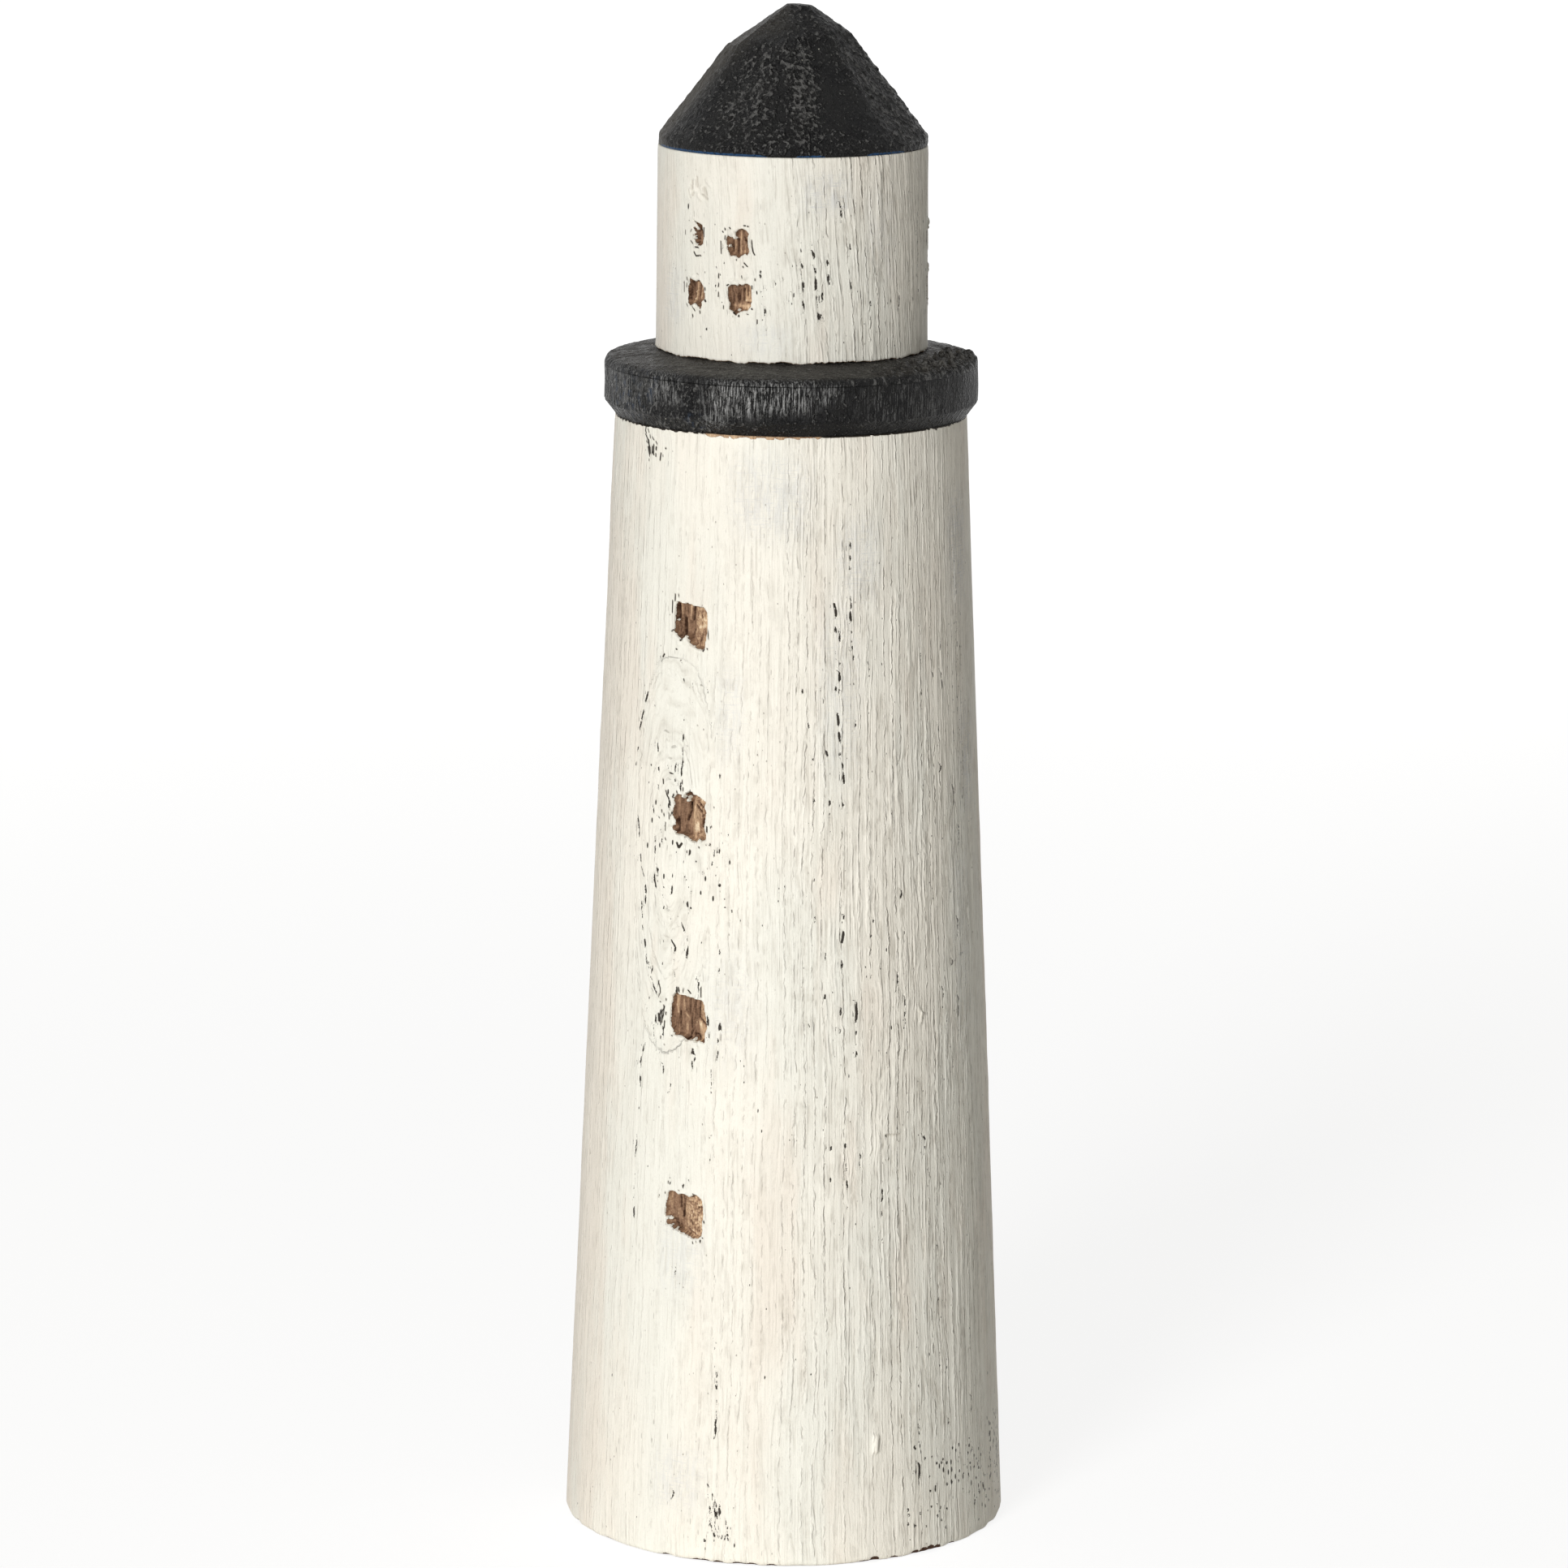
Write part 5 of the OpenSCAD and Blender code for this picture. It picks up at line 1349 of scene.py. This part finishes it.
pane_top_right = {
    "bearing": -23.7, "height": 256.4, "crumb": 0.12,
    "outline": [
        (-0.9, 2.5), (-0.3, 2.1), (0.2, 2.6), (1.1, 2.8), (1.8, 2.5), (2.4, 1.8), (2.1, 1.2),
        (2.2, -0.5), (2.5, -1.5), (2.1, -2.2), (1.7, -1.9), (1.0, -2.3), (0.3, -2.9),
        (-0.4, -2.4), (-1.4, -2.5), (-2.0, -1.4), (-2.3, 0.0), (-2.4, 0.7), (-2.0, 1.4),
        (-0.9, 1.1), (-0.4, 0.9), (-0.2, 1.2), (-0.5, 1.9),
    ],
    "floor": [(-2.4, 1.0, 0.35), (-0.6, 1.5, 0.4), (0.6, 1.5, 0.42), (2.4, 0.9, 0.5)],
    "strokes": [
        (1.1, 1.0, 1.7, 0.0, 0.14, 0.5, -0.6), (-1.4, 0.6, -1.3, -1.8, 0.14, 0.3, -0.3),
        (-0.9, 0.8, -0.8, -2.0, 0.14, -0.2, 0.25), (-0.3, 0.6, -0.3, -2.2, 0.15, 0.35, -0.35),
        (0.3, 2.2, 0.35, -2.2, 0.15, -0.2, 0.25), (0.8, 2.4, 0.8, 0.6, 0.14, 0.3, -0.25),
        (1.5, -0.3, 1.4, -1.7, 0.16, -0.15, 0.2), (2.0, 1.6, 2.0, -1.0, 0.14, 0.25, -0.3),
        (-1.9, 0.6, -1.8, -0.8, 0.15, -0.1, 0.15),
    ],
    "lumps": [
        (-1.3, 1.95, 0.85, 0.4), (-0.5, 1.0, 0.4, 0.3), (-1.55, -0.55, 0.28, 0.1), (2.6, 0.4, 0.3, 0.2),
    ],
    "nicks": [
        (-3.5, 0.2, -3.35, -2.2, 0.1), (-2.6, 2.7, -2.5, 2.4, 0.12), (-1.6, 2.9, -1.4, 2.7, 0.12),
        (-3.1, 2.1, -3.0, 1.9, 0.12), (3.0, 0.7, 3.1, -0.5, 0.1), (3.1, -0.6, 3.3, -1.5, 0.13),
        (3.4, -1.7, 3.6, -2.1, 0.12), (1.5, -3.7, 2.2, -4.4, 0.11), (1.3, -4.4, 1.35, -4.6, 0.11),
        (1.4, 3.4, 1.7, 3.4, 0.13), (2.1, 3.3, 2.3, 3.3, 0.12), (-2.55, 0.6, -2.5, 1.3, 0.1),
        (-0.1, -3.3, 0.0, -3.1, 0.1),
    ],
}
pane_low_left = {
    "bearing": -44.4, "height": 246.3, "crumb": 0.1,
    "outline": [
        (-2.0, 2.8), (-1.2, 2.4), (-0.1, 2.1), (0.8, 2.5), (1.4, 2.0), (1.9, 1.3),
        (2.3, 0.0), (2.4, -0.8), (2.0, -1.3), (1.4, -1.7), (1.6, -2.2), (1.2, -3.2),
        (0.2, -2.4), (-0.5, -2.1), (-1.0, -2.4), (-1.6, -2.8), (-2.3, -2.0), (-2.2, -0.8),
        (-2.3, 0.8), (-1.9, 1.9),
    ],
    "floor": [(-2.3, 0.9, 0.22), (-1.0, 1.5, 0.3), (0.2, 1.4, 0.35), (2.3, 0.9, 0.42)],
    "strokes": [
        (-0.35, 1.9, -0.5, 0.0, 0.2, -0.5, 0.5), (-0.5, 0.0, -0.75, -1.4, 0.2, -0.5, 0.5),
        (-0.75, -1.4, -1.6, -2.2, 0.18, -0.4, 0.4), (-0.1, 1.6, -0.2, -0.8, 0.17, 0.3, -0.35),
        (-0.8, 1.6, -0.95, -0.6, 0.16, 0.3, -0.35), (1.0, 1.1, 0.35, -1.2, 0.2, -0.25, 0.35),
        (1.4, 1.0, 1.2, -0.9, 0.14, 0.3, -0.3), (-1.6, 1.9, -1.7, -0.6, 0.2, 0.2, -0.15),
        (1.9, 0.3, 1.7, -0.8, 0.16, -0.15, 0.25), (0.4, -1.6, 1.1, -2.3, 0.2, 0.2, -0.2),
    ],
    "lumps": [
        (-0.7, 2.95, 0.7, 0.35), (-1.6, 3.1, 0.4, 0.25), (2.5, 0.3, 0.35, 0.2),
        (-0.5, -2.7, 0.5, 0.25),
    ],
    "nicks": [
        (2.45, -1.3, 2.55, -1.5, 0.2), (-0.8, -2.7, -0.2, -3.6, 0.11), (1.2, -3.5, 1.2, -3.9, 0.13),
        (-0.8, -4.3, -0.65, -4.9, 0.12), (-3.3, 1.8, -3.3, -0.2, 0.09), (-2.5, 2.6, -2.4, 2.2, 0.14),
        (-2.5, 1.6, -2.55, 0.8, 0.1), (2.4, 1.1, 2.5, 0.6, 0.1), (-2.5, -2.4, -2.2, -2.9, 0.1),
        (0.3, 3.6, 0.6, 3.5, 0.07),
    ],
}
pane_low_right = {
    "bearing": -22.5, "height": 245.9, "crumb": 0.12,
    "outline": [
        (-2.4, 2.0), (-1.6, 2.5), (-0.9, 2.5), (-0.4, 2.3), (-0.1, 2.7), (0.5, 2.4),
        (1.0, 2.7), (1.7, 2.8), (2.4, 2.3), (2.4, 0.7), (2.5, -0.5), (2.3, -1.5),
        (1.7, -2.3), (0.9, -2.4), (-0.1, -2.7), (-0.7, -3.2), (-1.3, -2.6), (-2.1, -2.2),
        (-2.0, -1.1), (-2.4, -0.1), (-2.5, 0.9),
    ],
    "floor": [(-2.5, 0.9, 0.22), (-0.6, 1.5, 0.26), (0.6, 1.5, 0.45), (2.5, 0.9, 0.55)],
    "strokes": [
        (0.98, 1.3, 0.98, -0.5, 0.18, -0.25, 0.3), (1.75, 1.1, 1.75, 0.0, 0.16, -0.2, 0.28),
        (1.0, -0.5, 2.3, -0.4, 0.2, -0.3, 0.35), (-1.0, -1.6, 1.6, -1.7, 0.5, -0.2, 0.3),
        (0.55, 1.7, 0.5, -0.6, 0.15, 0.4, -0.35), (1.4, 2.2, 1.4, 0.4, 0.13, 0.3, -0.35),
        (-0.3, 1.6, -0.4, -0.6, 0.16, 0.2, -0.15), (-1.6, 1.0, -1.6, -1.0, 0.2, 0.15, -0.1),
        (1.2, -0.9, 2.0, -1.0, 0.13, 0.3, -0.3), (-1.2, 0.4, -1.15, -0.6, 0.15, -0.1, 0.15),
    ],
    "lumps": [
        (1.0, 4.2, 0.9, 0.3), (-1.6, 3.2, 0.6, 0.3), (-0.4, 3.3, 0.45, 0.25), (-0.1, -2.3, 0.3, 0.2),
        (2.8, 1.4, 0.3, 0.2),
    ],
    "nicks": [
        (2.6, -1.9, 2.65, -2.0, 0.15), (0.0, -3.3, 0.0, -3.5, 0.14), (-1.1, -2.8, -0.6, -3.2, 0.14),
        (3.2, 3.9, 3.2, 3.5, 0.1), (3.7, -4.0, 3.7, -4.9, 0.1), (-4.4, 4.4, -4.45, 3.6, 0.12),
        (-4.4, 2.6, -4.5, 1.9, 0.11), (-4.45, 0.9, -4.5, 0.0, 0.1), (-3.3, -1.6, -3.3, -2.2, 0.09),
        (-2.6, 2.3, -2.2, 2.5, 0.12), (2.6, 2.5, 2.6, 1.9, 0.1), (1.5, -2.9, 1.9, -3.0, 0.07),
    ],
}
pane_group = [pane_top_left, pane_top_right, pane_low_left, pane_low_right]
lantern_scuff = {
    "bearing": -44.2, "height": 265.6, "crumb": 0,
    "outline": [], "floor": [(0, 0, 0)], "nicks": [],
    "strokes": [
        (-0.2, 2.7, 0.0, 1.05, 0.3, 0.28, 0), (-1.4, 1.9, -1.4, 1.4, 0.3, 0.25, 0),
        (-1.7, 1.0, -1.25, 0.35, 0.32, 0.28, 0), (-1.1, -0.15, -1.25, -0.75, 0.3, 0.26, 0),
        (1.8, 0.8, 2.3, -0.4, 0.32, 0.3, 0), (1.6, -0.5, 2.5, -1.2, 0.3, 0.28, 0),
        (-2.5, 0.0, -2.0, -1.1, 0.28, 0.28, 0), (-0.6, 1.9, -0.6, 0.2, 0.35, -0.35, 0),
        (1.2, 0.9, 1.5, -0.3, 0.35, -0.38, 0), (-1.9, 0.3, -1.6, -0.9, 0.3, -0.3, 0),
        (2.4, 2.3, 3.2, 1.5, 0.3, -0.3, 0), (0.3, -0.6, 0.9, -1.3, 0.35, -0.3, 0),
    ],
    "lumps": [],
}


def copied(place, bearing, drop):
    """The same cuts made in another place, mirrored left to right."""
    return {
        "bearing": bearing, "height": place["height"] - drop, "crumb": place["crumb"],
        "outline": [(-u, v) for u, v in place["outline"]],
        "floor": [(-u, depth, tone) for u, depth, tone in reversed(place["floor"])],
        "strokes": [(-a, b, -c, *rest) for a, b, c, *rest in place["strokes"]],
        "lumps": [(-u, v, radius, rise) for u, v, radius, rise in place["lumps"]],
        "nicks": [(-a, b, -c, d, half_width) for a, b, c, d, half_width in place["nicks"]],
    }


lantern_places = pane_group + [lantern_scuff]
group_middle = -34
for turned in (131, 240):
    for pane in pane_group:
        aside = pane["bearing"] - group_middle
        lantern_places.append(copied(pane, group_middle + turned - aside, 0.3))
refine(lantern, lantern_places, 4.9 * mm, 4.9 * mm, 2, 1)

lantern_slant = 0.09
lantern_mean = 26.3 * mm
side_seam = radians(100)


def lantern_rings(bearing, height):
    """How far across the growth rings a point lies: on this block they run up it with a slant."""
    run = (radians(97.5) - abs(turn_from(bearing, side_seam))) * lantern_mean
    wobble = 0.3 * mm * drawn(bearing, height, 5 * mm, 12 * mm, 25)
    return run + lantern_slant * (height - 258.2 * mm) + wobble


lantern_seams = [
    ([(2.4, 262), (5.5, 242)], [(258.6, 257.2, 1.1), (256.4, 254.2, 0.6), (253.4, 251.8, 1.0),
      (249.8, 247.2, 1.2), (246, 243.2, 1.2)]),
    ([(8.2, 259), (9.4, 251), (11.5, 241)], [(257, 256.2, 0.8), (255.4, 253.8, 1.6),
      (252.6, 250.6, 1.2), (250, 247.6, 1.5), (246.6, 244.4, 1.0), (243.6, 241.6, 1.4)]),
    ([(13.5, 259), (15.2, 252), (15.5, 248)], [(258.4, 257.4, 0.7), (253.6, 252.4, 1.4),
      (250.8, 248.6, 1.5)]),
    ([(11.2, 262), (12.6, 250), (13, 240)], [(260.6, 259.4, 0.6), (247.4, 245.4, 1.2),
      (242.6, 241.4, 0.9)]),
    ([(20.4, 265), (20.8, 259)], [(264.4, 260.6, 1.2)]),
    ([(0.2, 254), (0.8, 242)], [(252.8, 251.4, 0.9), (247.4, 245, 0.8), (243.4, 242.4, 0.9)]),
    ([(-13.4, 252.5), (-12.2, 244.5)], [(251.8, 249.6, 1.1), (248.4, 246.4, 0.9),
      (245.6, 244.8, 1.0)]),
    ([(-10.8, 249), (-10.8, 239)], [(248.6, 247.4, 1.0), (244.4, 242.4, 1.2), (240.6, 239.6, 0.8)]),
    ([(-7.4, 256), (-6.6, 244)], [(255.4, 254.4, 0.8), (249.6, 248.2, 0.8)]),
    ([(51, 247), (51.2, 241)], [(246, 243, 1.1)]),
    ([(-60, 253), (-60, 247)], [(252, 250.4, 1.1), (248.6, 247.6, 0.8)]),
    ([(-34.4, 256), (-33.6, 246)], [(255.6, 253.4, 0.8), (248.6, 246.6, 0.8)]),
    ([(24.5, 262), (25.4, 244)], [(257, 254, 0.7), (249.6, 247, 0.8)]),
    ([(33, 260), (35, 240)], [(258, 254, 0.6), (246, 243, 0.8)]),
    ([(66, 262), (67, 244)], [(262, 244, 0.6)]),
    ([(-4, 252), (-2.6, 244)], [(251, 249.4, 0.8), (246.6, 245.4, 0.9)]),
    ([(135, 262), (137, 244)], [(262, 244, 0.8)]), ([(-115, 264), (-113, 246)], [(264, 246, 0.8)]),
    ([(170, 254), (171, 240)], [(254, 240, 0.7)]),
]
lantern_wear = [
    (6, 250, 5.0, 9, 0.5), (-12, 246, 3.0, 8, 0.5), (51, 244, 3, 6, 0.5), (-60, 250, 3.0, 6, 0.5),
    (-33, 251, 3, 8, 0.6), (30, 248, 5, 12, 0.4), (66, 252, 3, 14, 0.6), (140, 252, 8, 14, 0.7),
    (-110, 255, 8, 12, 0.7), (170, 246, 6, 10, 0.7), (-34, 262, 4, 4, 0.4),
]
lantern_specks = [(-32, 240, 5, 3, 0.15), (-47, 262, 5, 3, 0.15), (150, 246, 14, 8, 0.15)]
lantern_cool = [(14.4, 266, 5, 4, 0.9), (-60, 245, 4, 6, 0.6), (-12, 238, 5, 3, 0.5), (40, 258, 4, 9, 0.4)]
lantern_warm = [(-72, 250, 8, 20, 0.9), (48, 254, 4, 14, 0.2), (150, 252, 20, 20, 0.6)]
lantern_heavy = [(52, 253, 18, 26, 1.0), (8, 250, 9, 26, 0.6), (160, 252, 25, 26, 0.7)]
skins, flows, kept = finish_skin(
    lantern, lantern_skin, skirt_low, lantern_high, 90, lantern_rings, lantern_places, lantern_seams,
    lantern_wear, lantern_specks, lantern_cool, lantern_warm, lantern_heavy, lantern_mean,
)
for vertex in lantern.data.vertices:
    x, y, height = vertex.co
    out = hypot(x, y)
    if height < lantern_low + 1.5 * mm and out > fall_start:
        bearing = atan2(x, -y)
        fray = drawn(bearing, 0, 6 * mm, 5 * mm, 97) + 0.6 * drawn(bearing, 0, 0.9 * mm, 5 * mm, 98)
        vertex.co.z = height - 0.45 * mm * fray * eased(height, lantern_low + 1.5 * mm, skirt_low)
keep_all(lantern, skins, flows, kept)
# The lantern room's coat is a darker copy of the tower's: painted shade, for the dimmer light that falls
# on it high up
lantern_painted_shade = 0.915
lantern_coat = white_paint("white paint on the lantern room", lantern_painted_shade)
place_block(lantern, lantern_coat, "lantern_room")


# Roof. One block of softwood whittled to a steep faceted cone with a blunt cap, bored below for
# its dowel. Black paint lies on it in thick lumps, with an older blue coat showing at the eaves.
roof_low, roof_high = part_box("roof")[0].z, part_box("roof")[1].z
eaves_radius = 26.05 * mm
eaves_high = 2.2 * mm
steep_radius = 25.95 * mm
knee_radius = 11.1 * mm
knee_height = roof_high - 5.7 * mm
tip_radius = 3.6 * mm
steep_low = roof_low + eaves_high
steep_lean = (steep_radius - knee_radius) / (knee_height - steep_low)
cap_lean = (knee_radius - tip_radius) / (roof_high - 0.25 * mm - knee_height)
roof_columns = 520
roof = spun(
    "roof_block",
    [(0, roof_low + roof_bore_deep), (roof_bore_radius, roof_low + roof_bore_deep)]
    + [(roof_bore_radius, roof_low), (14 * mm, roof_low), (eaves_radius - 0.3 * mm, roof_low)]
    + [(eaves_radius - 0.03 * mm, roof_low + 0.15 * mm)]
    + [(eaves_radius, roof_low + share * eaves_high) for share in even(0.2, 0.9, 6)]
    + [
        (steep_radius - steep_lean * rise, steep_low + rise)
        for rise in even(0, knee_height - steep_low, 84)
    ]
    + [(knee_radius - cap_lean * rise, knee_height + rise) for rise in even(0, 5.35 * mm, 34)]
    + [(tip_radius, roof_high - 0.25 * mm), (2.3 * mm, roof_high - 0.1 * mm)]
    + [(1.5 * mm, roof_high - 0.05 * mm), (0.7 * mm, roof_high), (0, roof_high)],
    roof_columns,
)

# The flats that the knife left on the steep cone: bearing, and how deep the knife went below the
# round at the eaves and at the knee, in mm. Then the flats of the cap: bearing and depth.
steep_flats = [
    (-84, 0.0, 0.15), (-36, 0.7, 0.9), (22, 0.55, 1.2), (62, 0.8, 1.0), (98, 0.4, 0.2),
    (138, 0.6, 0.6), (176, 0.4, 0.7), (214, 0.7, 0.5), (250, 0.5, 0.4),
]
cap_flats = [(-86, 2.1), (-34, 1.5), (18, 0.9), (72, 0.15), (126, 0.5), (180, 0.9), (232, 1.5)]
# How lumpy the paint is: bearing, height, half width, half height, strength
roof_lumpy = [
    (6, 285, 3.8, 12, 1.1), (62, 284, 7, 13, 0.9), (-26, 288, 6, 7, 0.85), (-27, 281, 7, 4, 0.95),
    (-8, 276, 14, 3, 0.7), (88, 284, 8, 13, 1.1), (-48, 286, 7, 9, 0.45), (0, 298, 18, 4, 0.6),
    (-50, 276, 14, 3, 0.5), (32, 275.5, 10, 2.5, 0.5),
    (150, 284, 18, 12, 0.8), (-140, 284, 18, 12, 0.6),
]
roof_dusty = [
    (-86, 284, 7, 14, 1.0), (-70, 297, 8, 3, 0.5), (-100, 280, 7, 12, 0.8), (170, 280, 10, 12, 0.6),
]
blue_spans = [(-78, -11, 0.42), (1, 14, 0.35), (33, 55, 0.42), (120, 190, 0.4)]

skins, dabs, lumpiness, cool, dust_and_painted_light, under = [], [], [], [], [], []
for vertex in roof.data.vertices:
    x, y, height = vertex.co
    out = hypot(x, y)
    bearing = atan2(x, -y)
    lumpy = 0
    if out > 0.1 * mm and (out > 14.5 * mm or height > roof_low + 13 * mm):
        lumpy = 0.2 + strongest(roof_lumpy, bearing, height, max(out, 12 * mm))
        share = min(max((height - steep_low) / (knee_height - steep_low), 0), 1)
        if height > steep_low - 0.1 * mm:
            for degrees, low_cut, high_cut in steep_flats:
                turn = turn_from(bearing, radians(degrees))
                if abs(turn) < 1.2:
                    round_at = steep_radius - steep_lean * (height - steep_low)
                    cut = (low_cut + (high_cut - low_cut) * share) * mm
                    out = min(out, max(round_at - cut, 0.5 * mm) / cos(turn))
        if height > knee_height - 2 * mm:
            for degrees, cut in cap_flats:
                turn = turn_from(bearing, radians(degrees))
                if abs(turn) < 1.2:
                    round_at = knee_radius - cap_lean * (height - knee_height) - cut * mm
                    out = min(out, max(round_at, 0.4 * mm) / cos(turn))
    side = (out * sin(bearing) / mm, out * cos(bearing) / mm, height / mm)
    dabs.append((side[0] * mm, side[1] * mm, side[2] * mm))
    lumpiness.append(lumpy)
    if lumpy:
        blobs = noise.noise(Vector((side[0] / 1.1, side[1] / 1.1, side[2] / 1.3 + 3)))
        small = noise.noise(Vector((side[0] / 0.7, side[1] / 0.7, side[2] / 0.6 + 7)))
        drag = noise.noise(Vector(((side[0] + 0.5 * side[2]) / 0.9, side[1] / 0.9, side[2] / 5 + 11)))
        dent = noise.noise(Vector((side[0] / 6, side[1] / 6, side[2] / 6 + 13)))
        rise = lumpy * (0.5 * abs(blobs) ** 0.8 * (1 if blobs > 0 else -0.4) + 0.2 * max(0, small))
        rise += 0.07 * drag + 0.16 * dent - 0.12
        ease = min((height - roof_low) / (1.5 * mm), 1)
        lean = 0.8 if height < knee_height else 0.5
        out += lean * rise * ease * mm
        if height > knee_height:
            height += 0.5 * rise * mm
    if 0 < height - roof_low < 2 * mm and out > 20 * mm:
        out = min(out, 26.15 * mm)
    height = min(height, roof_high)
    vertex.co = (out * sin(bearing), -out * cos(bearing), height)
    skins.append((out * sin(bearing), -out * cos(bearing), height))
    cool.append(0)
    dust_and_painted_light.append(strongest(roof_dusty, bearing, height, max(out, 8 * mm)))
    blue = 0
    degrees = bearing * 180 / pi
    if out > 24 * mm:
        for first, last, wide in blue_spans:
            within = min(eased(degrees, first - 3, first + 3), eased(degrees, last + 3, last - 3))
            blue = max(blue, within * eased((height - roof_low) / mm, wide + 0.35, wide - 0.25))
    under.append(blue)
store(roof, "skin", skins, "FLOAT_VECTOR")
store(roof, "dab", dabs, "FLOAT_VECTOR")
store(roof, "lumpy", lumpiness)
store(roof, "cool", cool)
store(roof, "dust_and_painted_light", dust_and_painted_light)
store(roof, "under", under)
place_block(roof, blacking, "roof")


# Dowels. Two hidden pegs of bare turned softwood, glued into the bores: a long one through the
# gallery and a thinner one under the roof. They keep the shape of their solids.
def dowel_wood():
    """Bare turned softwood: pale, with fine growth lines along the peg and the end grain in rings."""
    material = bpy.data.materials.new("bare dowel wood")
    material.use_nodes = True
    tree = material.node_tree
    tree.nodes.clear()
    place = add(tree, "ShaderNodeTexCoord").node.outputs["Object"]
    fibres = marks(tree, place, 0.25 * mm, 9 * mm, 3.0, 0.6)
    growth = marks(tree, place, 1.2 * mm, 40 * mm, 2.0, 0.5, 5.0)
    colour = mixed(tree, step(tree, growth, 0.4, 0.6), (0.62, 0.44, 0.28, 1), (0.5, 0.33, 0.19, 1))
    colour = mixed(tree, step(tree, fibres, 0.45, 0.75, 0.0, 0.4), colour, (0.34, 0.21, 0.12, 1))
    bumped = add(tree, "ShaderNodeBump", {"Height": fibres, "Strength": 0.4, "Distance": 0.05 * mm})
    shader = add(
        tree, "ShaderNodeBsdfPrincipled",
        {"Base Color": colour, "Roughness": 0.7, "Normal": bumped},
    )
    add(tree, "ShaderNodeOutputMaterial", {"Surface": shader})
    return material


peg_wood = dowel_wood()
for node in ("gallery_dowel", "roof_dowel"):
    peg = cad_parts[node]
    peg.data.materials.clear()
    peg.data.materials.append(peg_wood)
